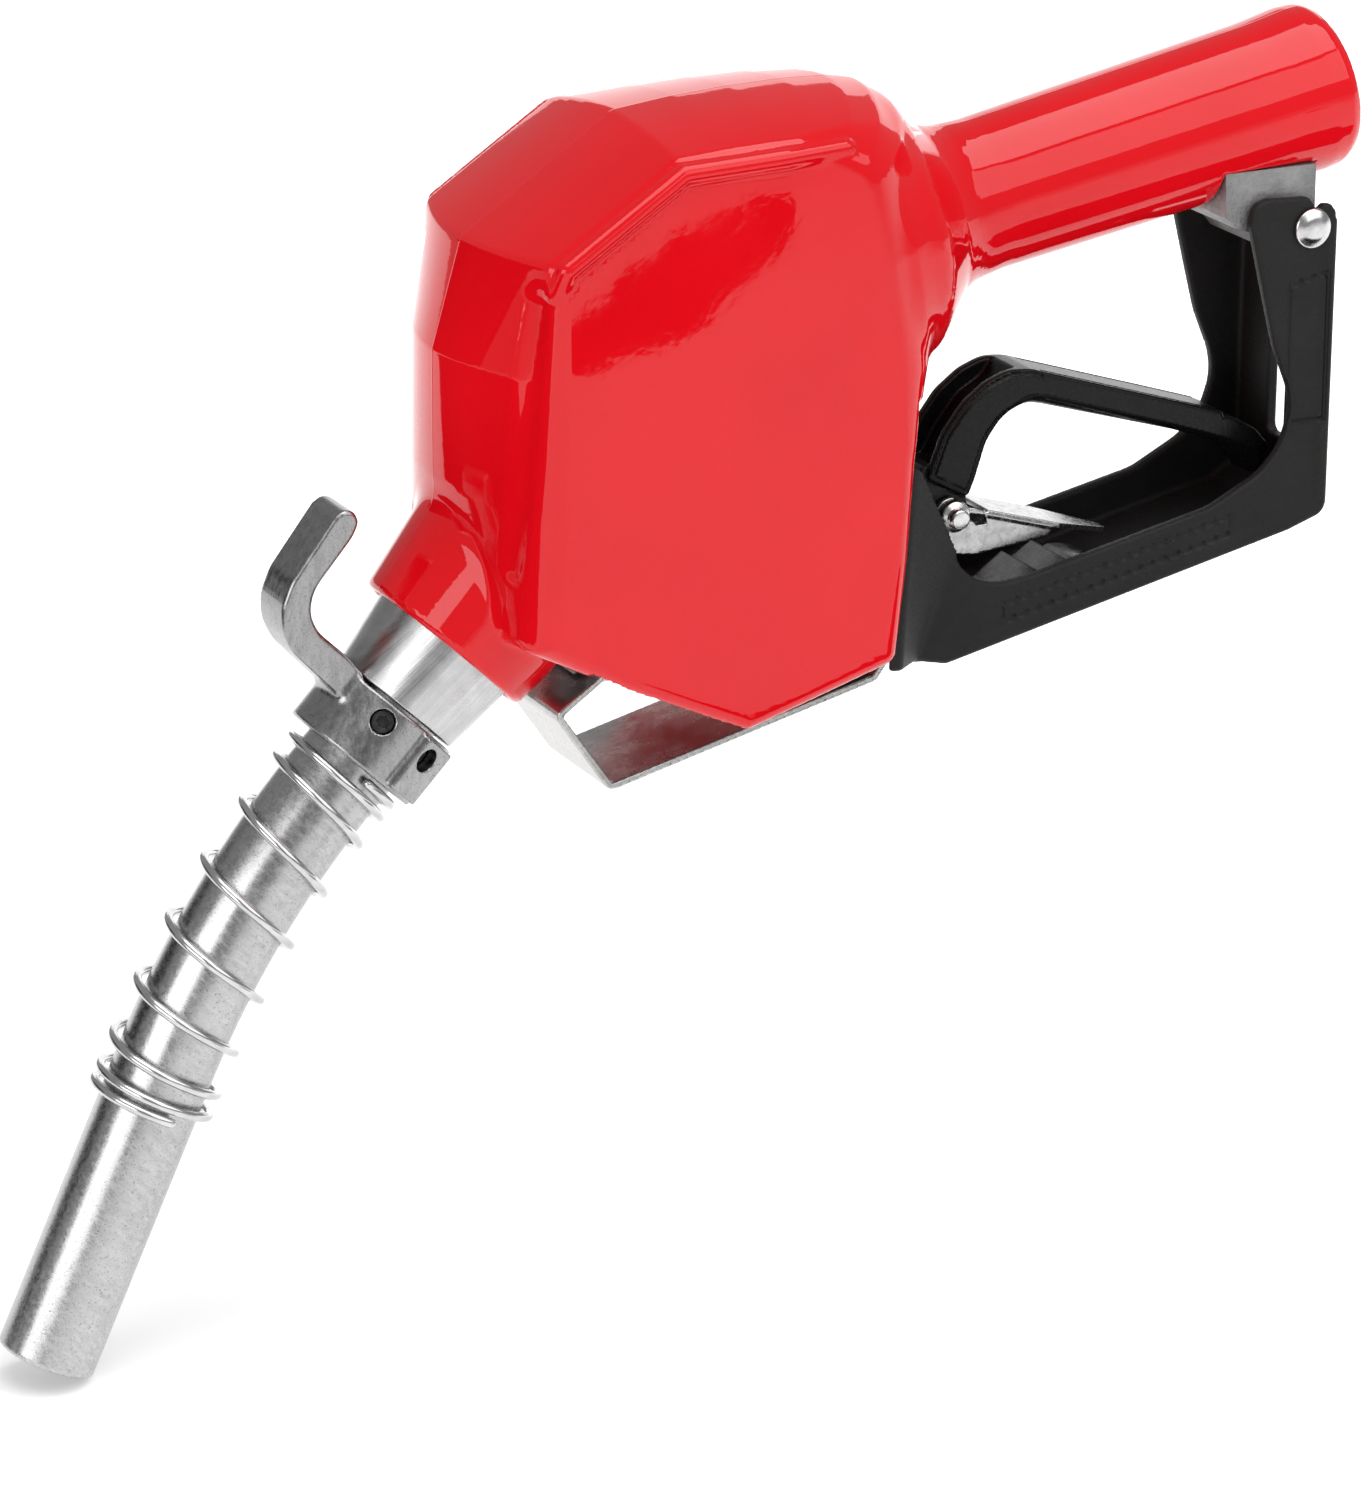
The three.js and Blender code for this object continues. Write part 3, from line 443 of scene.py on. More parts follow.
def turned(name, profile, line, material, replaced, body="nozzle", sides=96, side=ACROSS):
    """A closed profile of (distance along the line, radius) corners, turned about the line."""
    s = np.array([p[0] for p in profile], float)
    radius = np.array([max(p[1], 0) for p in profile], float)
    centre, direction = line(s)
    other = np.cross(direction, side)
    other /= np.linalg.norm(other, axis=1, keepdims=True)
    points = tube(centre, radius, np.broadcast_to(side, other.shape), other, sides)
    tidy(add_piece(name, points, rings(len(s), sides, True), material, replaced, body))


def tidy(piece):
    """Welds doubled points, turns the faces outwards and keeps flat faces flat."""
    work = bmesh.new()
    work.from_mesh(piece.data)
    bmesh.ops.remove_doubles(work, verts=work.verts, dist=1e-7)
    bmesh.ops.recalc_face_normals(work, faces=work.faces)
    work.to_mesh(piece.data)
    work.free()
    modifier = piece.modifiers.new("flat faces", "WEIGHTED_NORMAL")
    modifier.keep_sharp = True


DOME_RINGS = 4  # rings of points in a wire's domed end
DOME_TIP = 0.02  # the last ring's share of the wire's radius


def wire(name, points, radius, material, replaced, body="nozzle", sides=14):
    """Round wire along points, with domed ends."""
    points = np.asarray(points, float)
    along = np.gradient(points, axis=0)
    along /= np.linalg.norm(along, axis=1, keepdims=True)
    side = np.cross(along[0], UP)
    side /= np.linalg.norm(side)
    sides_at = []
    for direction in along:
        side = side - direction * (side @ direction)
        side /= np.linalg.norm(side)
        sides_at.append(side)
    dome = np.radians(np.linspace(90, 0, DOME_RINGS, endpoint=False))[:, None]
    first_cap = points[0] - along[0] * radius * np.sin(dome)
    last_cap = points[-1] + along[-1] * radius * np.sin(dome[::-1])
    cap_sizes = np.maximum(radius * np.cos(dome[:, 0]), radius * DOME_TIP)
    centres = np.concatenate([first_cap, points, last_cap])
    sizes = np.concatenate([cap_sizes, np.full(len(points), radius), cap_sizes[::-1]])
    repeats = np.ones(len(points), int)
    repeats[[0, -1]] += DOME_RINGS
    across = np.repeat(sides_at, repeats, axis=0)
    forward = np.repeat(along, repeats, axis=0)
    skin = tube(centres, sizes, across, np.cross(forward, across), sides)
    faces = rings(len(centres), sides, False)
    last = (len(centres) - 1) * sides
    faces += [tuple(range(sides))[::-1], tuple(range(last, last + sides))]
    add_piece(name, skin, faces, material, replaced, body)


# ---- materials


class Finish:
    """One procedural material: a Principled shader with noise, ramps and bumps in object space."""

    def __init__(self, name, **values):
        self.material = bpy.data.materials.new(name)
        self.material.use_nodes = True
        self.tree = self.material.node_tree
        self.shader = self.tree.nodes["Principled BSDF"]
        for socket, value in values.items():
            self.shader.inputs[socket.replace("_", " ")].default_value = value
        self.place = self.tree.nodes.new("ShaderNodeTexCoord").outputs["Object"]
        self.normal = None

    def node(self, kind, inputs=None, **settings):
        made = self.tree.nodes.new(kind)
        for key, value in settings.items():
            setattr(made, key, value)
        for key, value in (inputs or {}).items():
            if isinstance(value, bpy.types.NodeSocket):
                self.tree.links.new(value, made.inputs[key])
            else:
                made.inputs[key].default_value = value
        return made

    def turned(self, degrees, stretch):
        """Object space turned about Y, so that its Z lies along a piece, and stretched."""
        spun = self.node("ShaderNodeVectorRotate", {"Vector": self.place, "Angle": math.radians(degrees)},
                         rotation_type="Y_AXIS")
        return self.node("ShaderNodeMapping", {"Vector": spun.outputs[0], "Scale": stretch}).outputs[0]

    def noise(self, scale, detail=3.0, roughness=0.5, distortion=0.0, vector=None):
        made = self.node("ShaderNodeTexNoise", {
            "Vector": vector or self.place, "Scale": scale, "Detail": detail,
            "Roughness": roughness, "Distortion": distortion,
        })
        return made.outputs["Fac"]

    def cells(self, scale):
        return self.node("ShaderNodeTexVoronoi", {"Vector": self.place, "Scale": scale}).outputs["Distance"]

    def ramp(self, factor, *stops):
        made = self.node("ShaderNodeValToRGB", {"Fac": factor})
        ramp = made.color_ramp
        while len(ramp.elements) < len(stops):
            ramp.elements.new(0.5)
        for element, (place, colour) in zip(ramp.elements, stops):
            element.position = place
            element.color = (*colour, 1.0) if isinstance(colour, tuple) else (colour, colour, colour, 1.0)
        return made.outputs["Color"]

    def mix(self, factor, a, b):
        made = self.node("ShaderNodeMix", data_type="RGBA")
        for socket, value in ((made.inputs[0], factor), (made.inputs[6], a), (made.inputs[7], b)):
            if isinstance(value, bpy.types.NodeSocket):
                self.tree.links.new(value, socket)
            else:
                socket.default_value = value if isinstance(value, float) else (*value, 1.0)
        return made.outputs[2]

    def bump(self, height, distance, strength=1.0):
        """Adds relief; distance is its depth in metres."""
        inputs = {"Height": height, "Distance": distance, "Strength": strength}
        if self.normal is not None:
            inputs["Normal"] = self.normal
        self.normal = self.node("ShaderNodeBump", inputs).outputs[0]
        self.set("Normal", self.normal)

    def set(self, socket, value):
        self.tree.links.new(value, self.shader.inputs[socket])

    def grained(self, colour, grain, smooth, rough, distance, strength=0.5):
        """The material, with a roughness and a relief that follow one grain."""
        self.set("Base Color", colour)
        self.set("Roughness", self.ramp(grain, smooth, rough))
        self.bump(grain, distance, strength)
        return self.material


MOULD_LINE_HALF_WIDTH = 0.0003  # metres


def vinyl_finish():
    """Glossy dip-coated vinyl: slow colour drift, faint waves and a few specks under the skin."""
    f = Finish("red_vinyl", IOR=1.5, Specular_IOR_Level=0.46)
    drift = f.noise(22, 2)
    colour = f.ramp(drift, (0.3, (0.66, 0.002, 0.007)), (0.7, (0.73, 0.004, 0.010)))
    f.set("Roughness", f.ramp(f.noise(60, 3), (0.35, 0.025), (0.7, 0.055)))
    specks = f.ramp(f.cells(420), (0.0, 1.0), (0.035, 0.0))
    across = f.node("ShaderNodeSeparateXYZ", {"Vector": f.place}).outputs["Y"]
    aside = f.node("ShaderNodeMath", {0: across}, operation="ABSOLUTE").outputs[0]
    mould_line = f.node("ShaderNodeMapRange", {
        "Value": aside, "From Max": MOULD_LINE_HALF_WIDTH, "To Min": 1.0, "To Max": 0.0,
    })
    f.set("Base Color", f.mix(specks, colour, (0.86, 0.10, 0.08)))
    f.bump(f.noise(34, 2), 0.0004, 0.35)
    f.bump(mould_line.outputs[0], 0.00006, 0.6)
    f.bump(f.noise(520, 2), 0.00002, 0.4)
    return f.material


def cast_finish():
    """Sand-cast aluminium."""
    f = Finish("cast_aluminium", Metallic=0.85)
    colour = f.ramp(f.noise(160, 4), (0.3, 0.25), (0.7, 0.42))
    return f.grained(colour, f.noise(900, 5, 0.65), (0.3, 0.45), (0.7, 0.7), 0.0004, 0.8)


def zinc_finish(name, degrees, light=0.60, dark=0.38, mottle=950):
    """Bright mottled zinc with a faint drawing grain along the piece."""
    f = Finish(name, Metallic=1.0)
    along = f.turned(degrees, (1.0, 1.0, 0.25))
    mottled = f.noise(mottle, 6, 0.7, 0.3, along)
    patches = f.noise(90, 3, 0.5, 0.0, along)
    pits = f.ramp(f.noise(2200, 3, 0.6), (0.30, 0.0), (0.42, 1.0))
    shade = f.ramp(mottled, (0.32, dark), (0.68, light))
    shade = f.mix(f.ramp(patches, (0.35, 0.0), (0.65, 0.4)), shade, (light, light, light * 1.02))
    colour = f.mix(pits, (dark * 0.7, dark * 0.7, dark * 0.68), shade)
    f.grained(colour, mottled, (0.3, 0.2), (0.7, 0.34), 0.00003)
    f.bump(f.noise(2200, 3, 0.6), 0.00002, 0.5)
    return f.material


def machined_finish():
    """Turned metal with fine rings round the spout line and a few stains."""
    f = Finish("machined_metal", Metallic=1.0)
    lines = f.noise(260, 3, 0.6, 0.0, f.turned(90 - SPOUT_ANGLE, (0.06, 0.06, 6.0)))
    stains = f.noise(120, 4, 0.6, 0.5)
    shade = f.ramp(stains, (0.3, 0.48), (0.7, 0.66))
    colour = f.mix(f.ramp(lines, (0.3, 0.0), (0.7, 0.25)), shade, (0.42, 0.42, 0.43))
    return f.grained(colour, lines, (0.3, 0.2), (0.7, 0.34), 0.00003, 0.6)


def steel_finish(name, shade=0.68, roughness=0.2):
    """Plated steel: nearly smooth, with fine draw lines and small dull spots."""
    f = Finish(name, Metallic=1.0)
    colour = f.ramp(f.noise(240, 3), (0.3, shade * 0.82), (0.7, shade))
    spots = f.noise(700, 3, 0.6)
    return f.grained(colour, spots, (0.35, roughness * 0.8), (0.7, roughness * 1.6), 0.00002)


def sheet_finish():
    """Zinc-plated sheet: cloudy grey with small spangles and scuffs."""
    f = Finish("plated_sheet", Metallic=0.95)
    cloud = f.noise(110, 5, 0.7, 0.3)
    spangle = f.noise(900, 3, 0.6)
    shade = f.ramp(cloud, (0.3, (0.42, 0.42, 0.41)), (0.6, (0.60, 0.60, 0.59)), (0.8, (0.72, 0.71, 0.69)))
    f.set("Base Color", f.mix(f.ramp(spangle, (0.35, 0.25), (0.6, 0.0)), shade, (0.30, 0.29, 0.28)))
    f.set("Roughness", f.ramp(cloud, (0.3, 0.18), (0.7, 0.32)))
    f.bump(spangle, 0.00005, 0.5)
    return f.material


def plastic_finish(name, shade, roughness, grain_depth, grain_scale=2100):
    """Black moulded plastic; the grain is the mould's spark-eroded texture."""
    f = Finish(name, IOR=1.5, Specular_IOR_Level=0.24)
    dark = (shade, 0.97 * shade, 0.94 * shade)
    wear = f.ramp(f.noise(70, 3, 0.6), (0.3, dark), (0.75, tuple(1.35 * c for c in dark)))
    grain = f.noise(grain_scale, 3, 0.6)
    return f.grained(wear, grain, (0.3, roughness * 0.8), (0.7, roughness * 1.2), grain_depth, 0.7)


def plain_finish(name, metallic, colours, colour_scale, roughness, roughness_scale, grain_scale, grain_depth):
    """A metal or rubber with a slow drift in its colour and a fine grain."""
    f = Finish(name, Metallic=metallic)
    f.set("Base Color", f.ramp(f.noise(*colour_scale), (0.3, colours[0]), (0.7, colours[1])))
    f.set("Roughness", f.ramp(f.noise(roughness_scale, 3), (0.3, roughness[0]), (0.7, roughness[1])))
    f.bump(f.noise(grain_scale, 3), grain_depth, 0.5)
    return f.material


VINYL = vinyl_finish()
CASTING = cast_finish()
ZINC = zinc_finish("spout_zinc", 90 - SPOUT_ANGLE)
COLLAR_ZINC = zinc_finish("collar_zinc", 0, 0.44, 0.24, 700)
MACHINED = machined_finish()
STEEL = steel_finish("bright_steel", 0.74, 0.18)
# The clip's steel is the bright steel made darker, as painted shade that dims the softboxes' reflection in
# it.
SHADED_CLIP_STEEL = steel_finish("clip_steel_painted_shade", 0.55, 0.22)
WIRE = steel_finish("spring_steel", 0.72, 0.16)
DARK_STEEL = steel_finish("screw_steel", 0.09, 0.3)
SHEET = sheet_finish()
GUARD_PLASTIC = plastic_finish("guard_plastic", 0.011, 0.5, 0.00022)
LEVER_PLASTIC = plastic_finish("lever_plastic", 0.004, 0.30, 0.00005, 1200)
RACK_STEEL = steel_finish("rack_steel", 0.36, 0.24)
BRASS = plain_finish("brass", 1.0, ((0.42, 0.27, 0.10), (0.60, 0.42, 0.18)), (200, 4), (0.25, 0.4), 800,
                     1200, 0.00003)
RUBBER = plain_finish("rubber", 0.0, (0.010, 0.018), (150, 3), (0.6, 0.8), 900, 1600, 0.00004)

# ---- vinyl cover

# The body's outline where its sides are flat, and the matching outline on the plane of symmetry,
# where the front, top and back are crowned like a roof.
SIDE_OUTLINE = [
    (-47, 36), (-45, 62), (-44, 92), (-41.8, 116), (-15.2, 133.3), (-4, 133.8), (6, 134.1), (14, 134.2),
    (21, 133.8), (27, 131.6), (31.5, 127), (37, 108), (38.6, 84), (36.8, 65.7), (35.5, 45.3), (33.2, 24),
    (-0.3, 14), (-33.8, 29.7),
]
CROWN_OUTLINE = [
    (-53, 40), (-55.4, 67), (-55.2, 93), (-48.6, 115.4), (-15.3, 137.8), (-2, 139.3), (10, 140.1),
    (22, 140.4), (32, 140.1), (39, 138.6), (44, 135), (50, 120), (51, 88), (44, 68), (41, 45.3), (38, 24),
    (-0.3, 14), (-33.8, 29.7),
]
SKIRT_SPACE = [(-34, 33), (-34, -5), (75, -5), (75, 78), (30, 78), (20, 44), (-22, 44)]
LUG_SLOT = [
    (118.7, 113), (119.2, 103.3), (121.9, 100.7), (129.3, 98.1), (132.9, 93.9), (141.3, 93.9), (141.3, 113),
]
LUG_SLOT_HALF_WIDTH = 14.7
SIDE_MIDDLE = (4.0, 62.0)  # where the side faces are widest apart
SIDE_CURVE = 1100.0  # radius of their slight swell
SIDE_SWELL = 0.8  # how far it stands out in the middle
SHOULDER_EXTRA = 6.0  # how much rounder the edge is beside the grip's root
FRONT_EXTRA = 2.5  # and down the front edge
BOOT_ROOT = -38.0  # where the boot ends inside the body, along the spout line
GRIP_BORE = 15.0
SIDE_CORE = shrunk(SIDE_OUTLINE, BODY_EDGE)
CROWN_CORE = shrunk(CROWN_OUTLINE, BODY_EDGE)
# The grip's half section: distance along its line, radius and the radius of each corner's curve.
GRIP_PROFILE = rounded([
    (-112, -5, 0), (-112, 29, 0), (-104, 27.8, 8), (-99.5, 23.6, 8), (-95, 19.4, 8), (-90, 16.8, 14),
    (-82, 16.1, 30), (-14, 17.2, 60), (-5, 17.9, 10), (-1.2, 17.7, 3), (1.2, 16.4, 1.6), (1.2, -5, 0),
])
# The bead along the top edge of each side face, and the hollow down each front edge: x, |y|, z.
BEAD_PATH = [
    (-41.2, 29.6, 110), (-39.8, 31.1, 114.8), (-14.6, 31.1, 131.3), (8, 31.0, 132.1), (22, 29.0, 132.3),
]
BEAD_RADIUS = 2.1
VALLEY_PATH = [
    (-45.9, 28.2, 108), (-47.2, 28.4, 92), (-48.7, 28.2, 76), (-50.3, 27.2, 62), (-51.3, 25.6, 54),
]
VALLEY_RADIUS = 1.6


def body_field(x, y, z):
    """The body without its boot and grip: flat sides, and a crowned front, top and back."""
    share = np.minimum(np.abs(y) / BODY_HALF_WIDTH, 1)
    crown = 1 - 0.1 * share - 0.9 * share * share
    pairs = zip(SIDE_CORE, CROWN_CORE)
    corners = [(a + crown * (c - a), b + crown * (d - b)) for (a, b), (c, d) in pairs]
    fall = ((x - SIDE_MIDDLE[0]) ** 2 + (z - SIDE_MIDDLE[1]) ** 2) / (2 * SIDE_CURVE)
    half_width = BODY_HALF_WIDTH + SIDE_SWELL - fall
    shoulder = np.clip((x - 12) / 24, 0, 1) * np.clip((z - 70) / 36, 0, 1)
    front = np.clip((-26 - x) / 16, 0, 1) * np.clip((112 - z) / 24, 0, 1)
    edge = BODY_EDGE + SHOULDER_EXTRA * shoulder + FRONT_EXTRA * front
    return both(outline(x, z, corners) - BODY_EDGE, np.abs(y) - half_width, edge)


def cover_field(x, y, z):
    across = np.abs(y)
    s, radius = about(x, y, z, SPOUT_POINT, SPOUT_AXIS)
    boot_wall = radius - BOOT_RADIUS + s * BOOT_FLARE
    boot = np.maximum(both(boot_wall, s, 1.3), BOOT_ROOT - s)
    t, aside = about(x, y, z, HANDLE_POINT, HANDLE_AXIS)
    grip = outline(t, aside, GRIP_PROFILE)
    outside = -either(-body_field(x, y, z), chain(x, across, z, VALLEY_PATH) - VALLEY_RADIUS, 4.0)
    outside = either(outside, boot, 2.2)
    outside = either(outside, chain(x, across, z, BEAD_PATH) - BEAD_RADIUS, 0.7)
    outside = either(outside, grip, 6.0)
    hollow = outside + COVER_WALL
    hollow = np.minimum(hollow, np.maximum(boot_wall + COVER_WALL, -10 - s))
    hollow = np.minimum(hollow, np.maximum(aside - GRIP_BORE, -12 - t))
    hollow = np.minimum(hollow, both(outline(x, z, SKIRT_SPACE), across - SKIRT_HALF_GAP))
    hollow = np.minimum(hollow, both(outline(x, z, LUG_SLOT), across - LUG_SLOT_HALF_WIDTH))
    return without(outside, hollow, 0.9)


moulded("red_cover", cover_field, (-80, -36, 6), (154, 36, 146), 1.0, VINYL, ["vinyl_cover"])

# ---- spout, adapter and spring

turned("adapter_sleeve", rounded([
    (-26, 6.5, 0), (-26, 12, 0.5), (-22, 12, 0.5), (-21.6, 14.4, 0.3), (-20, 14.4, 0.3), (-20, 12.7, 0.2),
    (-17, 12.7, 0.2), (-17, 14.4, 0.3), (-2.6, 14.4, 0.2), (-2.6, 16.2, 0.5), (-0.6, 16.2, 0.6),
    (15.2, 14.2, 0.5), (15.2, 10.7, 0.4), (-8, 10.7, 0.2), (-8, 7.4, 0.3), (-10, 7.4, 0.3), (-10, 9.6, 0.2),
    (-24, 9.6, 0.2), (-24, 6.5, 0.3),
], 0.4), straight_line(SPOUT_POINT, SPOUT_AXIS), MACHINED, ["spout_adapter"])


SPOUT_FOOT = -7.7  # the tube's end inside the adapter
SPOUT_RINGS = 64  # rings of points along the tube


def spout_profile():
    """The tube's wall, with both ends rounded."""
    lip = SPOUT_WALL / 2
    places = np.linspace(SPOUT_FOOT + 1, SPOUT_END - 1.2, SPOUT_RINGS)
    rim = arc((SPOUT_END - lip, SPOUT_RADIUS - lip), lip, 90, -90, 8)
    foot = arc((SPOUT_FOOT + lip, SPOUT_RADIUS - lip), lip, 270, 90, 8)
    outer = [(s, SPOUT_RADIUS) for s in places]
    inner = [(s, SPOUT_RADIUS - SPOUT_WALL) for s in places[::-1]]
    return outer + rim + inner + foot


turned("spout_pipe", spout_profile(), spout_line, ZINC, ["spout_tube"], sides=112)

SPRING_START = 31.4
SPRING_PITCHES = [2.6, 6, 13, 13.2, 13.4, 13, 11, 5, 2.4]  # advance of each turn
SPRING_RADIUS = 12.2
SPRING_WIRE = 1.0
STEPS_PER_TURN = 64
PITCH_BLEND = 24  # steps either side over which one turn's pitch runs into the next


def spring_points():
    turns = np.linspace(0, len(SPRING_PITCHES), len(SPRING_PITCHES) * STEPS_PER_TURN + 1)
    reached = np.concatenate([[0], np.cumsum(SPRING_PITCHES)])
    s = np.interp(turns, np.arange(len(reached)), reached)
    padded = np.concatenate([2 * s[0] - s[PITCH_BLEND:0:-1], s, 2 * s[-1] - s[-2:-PITCH_BLEND - 2:-1]])
    width = 2 * PITCH_BLEND + 1
    s = np.convolve(padded, np.ones(width) / width, "valid")
    centre, direction = spout_line(SPRING_START + s)
    upper = np.stack([direction[:, 2], np.zeros(len(s)), -direction[:, 0]], -1)
    turn = (turns * 2 * math.pi)[:, None]
    return centre - SPRING_RADIUS * (ACROSS * np.cos(turn) + upper * np.sin(turn))


wire("wire_spring", spring_points(), SPRING_WIRE, WIRE, ["spout_spring"])

# ---- hook collar and its set screws

HOOK_OUTLINE = rounded([
    (-68, 21, 0.5), (-76.6, 33.2), (-83.2, 39.6), (-84.9, 43.6), (-84, 48.4), (-75.2, 58.6),
    (-74, 61.4, 2), (-75, 63.8, 2), (-77.4, 64.2, 2), (-79.3, 63, 2), (-88.8, 50.8), (-91, 45.6),
    (-90.8, 40.4), (-88.6, 35.8), (-77.8, 24.2), (-74, 16, 1),
], 9.0)
# Each set screw's number, its place along the spout and its turn from the near side.
COLLAR_SCREWS = [(1, 19.9, 27.4), (2, 20.4, -20.0), (3, 23.0, 165.0)]
SET_SCREW_ENDS = (10.8, 13.2)  # from the spout line
SET_SCREW_PITCH = 0.8
BOSS_TURN = -24.0
BOSS_REACH = (8.0, 16.3)  # from the spout line to the flat
BOSS_HALF_WIDTH = 4.8
COLLAR_BORE = 10.7
ADAPTER_SPACE = 14.6  # radius kept clear for the adapter's end


def round_the_spout(turn):
    turn = math.radians(turn)
    return -math.cos(turn) * ACROSS + math.sin(turn) * SPOUT_UPPER


def collar_field(x, y, z):
    s, radius = about(x, y, z, SPOUT_POINT, SPOUT_AXIS)
    band = both(radius - COLLAR_RADIUS, slab(s, COLLAR_START, COLLAR_END), 0.7)
    facing = round_the_spout(BOSS_TURN)
    aside = np.cross(facing, SPOUT_AXIS)
    middle = SPOUT_POINT + (COLLAR_START + COLLAR_END) / 2 * SPOUT_AXIS
    out = reach(x, y, z, middle, facing)
    wide = reach(x, y, z, middle, aside)
    boss = both(slab(out, *BOSS_REACH), np.abs(wide) - BOSS_HALF_WIDTH, 0.5)
    boss = both(boss, slab(s, COLLAR_START + 0.7, COLLAR_END - 0.7), 0.5)
    hook = both(outline(x, z, HOOK_OUTLINE), np.abs(y) - HOOK_HALF_WIDTH, 0.9)
    shape = either(either(band, boss, 1.0), hook, 2.0)
    shape = without(shape, np.maximum(radius - COLLAR_BORE, COLLAR_START - 2 - s), 0.5)
    shape = without(shape, both(radius - ADAPTER_SPACE, s - COLLAR_START), 0.2)
    for _, place, turn in COLLAR_SCREWS:
        out = round_the_spout(turn)
        depth, aside = about(x, y, z, SPOUT_POINT + place * SPOUT_AXIS, out)
        shape = without(shape, np.maximum(aside - SET_SCREW_RADIUS - PIN_HOLE_PLAY, 8 - depth), 0.35)
    return shape


moulded("hook_and_collar", collar_field, (-94, -18, -4), (-52, 18, 68), 0.45, COLLAR_ZINC,
        ["hook_collar"])


def hexagon(a, b, half_width):
    """A six-sided hole's field, from the distances along two directions square to it."""
    turns = (0, math.pi / 3, 2 * math.pi / 3)
    flats = [np.abs(a * math.cos(t) + b * math.sin(t)) for t in turns]
    return np.maximum(np.maximum(flats[0], flats[1]), flats[2]) - half_width


def socket_screw_field(point, out, radius, ends, socket_half_width, socket_floor):
    """A headless screw with a hexagon socket, standing along `out` from a point."""
    side = np.cross(out, SPOUT_AXIS if abs(out @ SPOUT_AXIS) < 0.5 else ACROSS)
    side /= np.linalg.norm(side)
    other = np.cross(out, side)

    def field(x, y, z):
        along, aside = about(x, y, z, point, out)
        flats = hexagon(reach(x, y, z, point, side), reach(x, y, z, point, other), socket_half_width)
        socket = np.maximum(flats, socket_floor - along)
        ridge = 0.12 * np.cos(along * 2 * math.pi / SET_SCREW_PITCH)
        return without(both(aside - radius + ridge, slab(along, *ends), 0.3), socket, 0.1)

    return field


for number, place, turn in COLLAR_SCREWS:
    out = round_the_spout(turn)
    point = SPOUT_POINT + place * SPOUT_AXIS
    middle = point + 12.7 * out
    screw = socket_screw_field(point, out, SET_SCREW_RADIUS, SET_SCREW_ENDS, 1.15, 11.6)
    moulded(f"set_screw_{number}", screw, middle - 4, middle + 4, 0.2, DARK_STEEL,
            [f"collar_set_screw_{number}"])

# ---- squeeze lever

LEVER_GRIP = rounded([
    (53.9, 53.4, 1), (57.4, 62.6), (62, 68.6), (67.5, 72.6), (73, 74.6), (78, 74.2), (110.5, 63.7, 30),
    (124.8, 59, 0), (125.1, 57.9, 0), (128, 57.2, 3), (133.2, 54.1, 5), (137.4, 49, 3), (136.8, 43.4, 1.6),
    (133.6, 43.4, 1.6), (130.5, 47.6, 3), (126, 51.2, 8), (114.4, 55.5, 30), (77.8, 66.6, 8), (71.6, 65),
    (67.6, 60), (65, 52), (63.4, 48.2, 1),
], 9.0)
LEVER_ARM = [*arc(PIVOT, 5.6, 250, 90, 12), *rounded([
    (-3, 31.4, 12), (8, 38, 8), (15, 43, 4), (20, 43.6, 6), (30, 46, 10), (46, 49, 10), (50, 51, 0),
    (50, 41, 0), (30, 36, 20), (12, 28.6, 10),
])]
LEVER_LUG = rounded([
    (46, 48, 0), (53.9, 56, 1), (63.6, 50.4, 1), *arc(CLIP_PIVOT, 5, 0, -100, 8), (52, 40.4), (46, 39.6),
], 2)
ARCH_CHANNEL = rounded([
    (50, 57, 0), (58, 55.5, 1), (61.6, 61.5), (66.5, 67.6), (72, 70.6), (76, 76, 2), (74, 82, 0), (50, 82, 0),
], 8.0)
CHANNEL_HALF_WIDTH = 4.6
BAR_LINE = ((77.8, 70.4), (130, 52.0))  # the middle of the squeeze bar
BAR_GROOVE_Y = 5.2  # the fine groove along each edge of its top
UNDERSIDE_ROUNDER = 3.9  # added to the edge radius below the bar
FORK_END = -6.0


def lever_field(x, y, z):
    across = np.abs(y)
    wall = outline(x, z, LEVER_GRIP)
    along, above, _ = beside(x, z, BAR_LINE)
    under = np.clip((0.6 - above) / 2.4, 0, 1) * np.clip((along + 6) / 12, 0, 1)
    grip = both(wall, across - LEVER_HALF_WIDTH, 0.8 + UNDERSIDE_ROUNDER * under)
    groove = length(wall, across - BAR_GROOVE_Y) - 0.35
    on_top = np.maximum(groove, np.maximum(-above, -along + 2))
    grip = without(grip, on_top, 0.2)
    arm = both(outline(x, z, LEVER_ARM), across - LEVER_HALF_WIDTH, 0.8)
    lug = both(outline(x, z, LEVER_LUG), across - LEVER_LUG_HALF_WIDTH, 0.6)
    shape = either(either(grip, arm, 0.8), lug, 0.8)
    channel = both(outline(x, z, ARCH_CHANNEL), across - CHANNEL_HALF_WIDTH, 0.6)
    shape = without(shape, channel, 0.7)
    bead = length(wall + 0.9, across - LEVER_HALF_WIDTH) - 0.45
    shape = without(shape, np.maximum(bead, along - 2), 0.2)
    fork = np.maximum(across - FORK_HALF_GAP, x - FORK_END)
    shape = without(shape, fork, 0.5)
    shape = without(shape, cross_hole(x, z, PIVOT, LEVER_PIN_RADIUS + PIN_HOLE_PLAY), 0.3)
    return without(shape, cross_hole(x, z, CLIP_PIVOT, CLIP_RIVET_RADIUS + PIN_HOLE_PLAY), 0.3)


moulded("squeeze_lever", lever_field, (-22, -8.5, 16), (140, 8.5, 77), 0.55, LEVER_PLASTIC,
        ["lever"], "lever")

# ---- hold-open clip and rivet

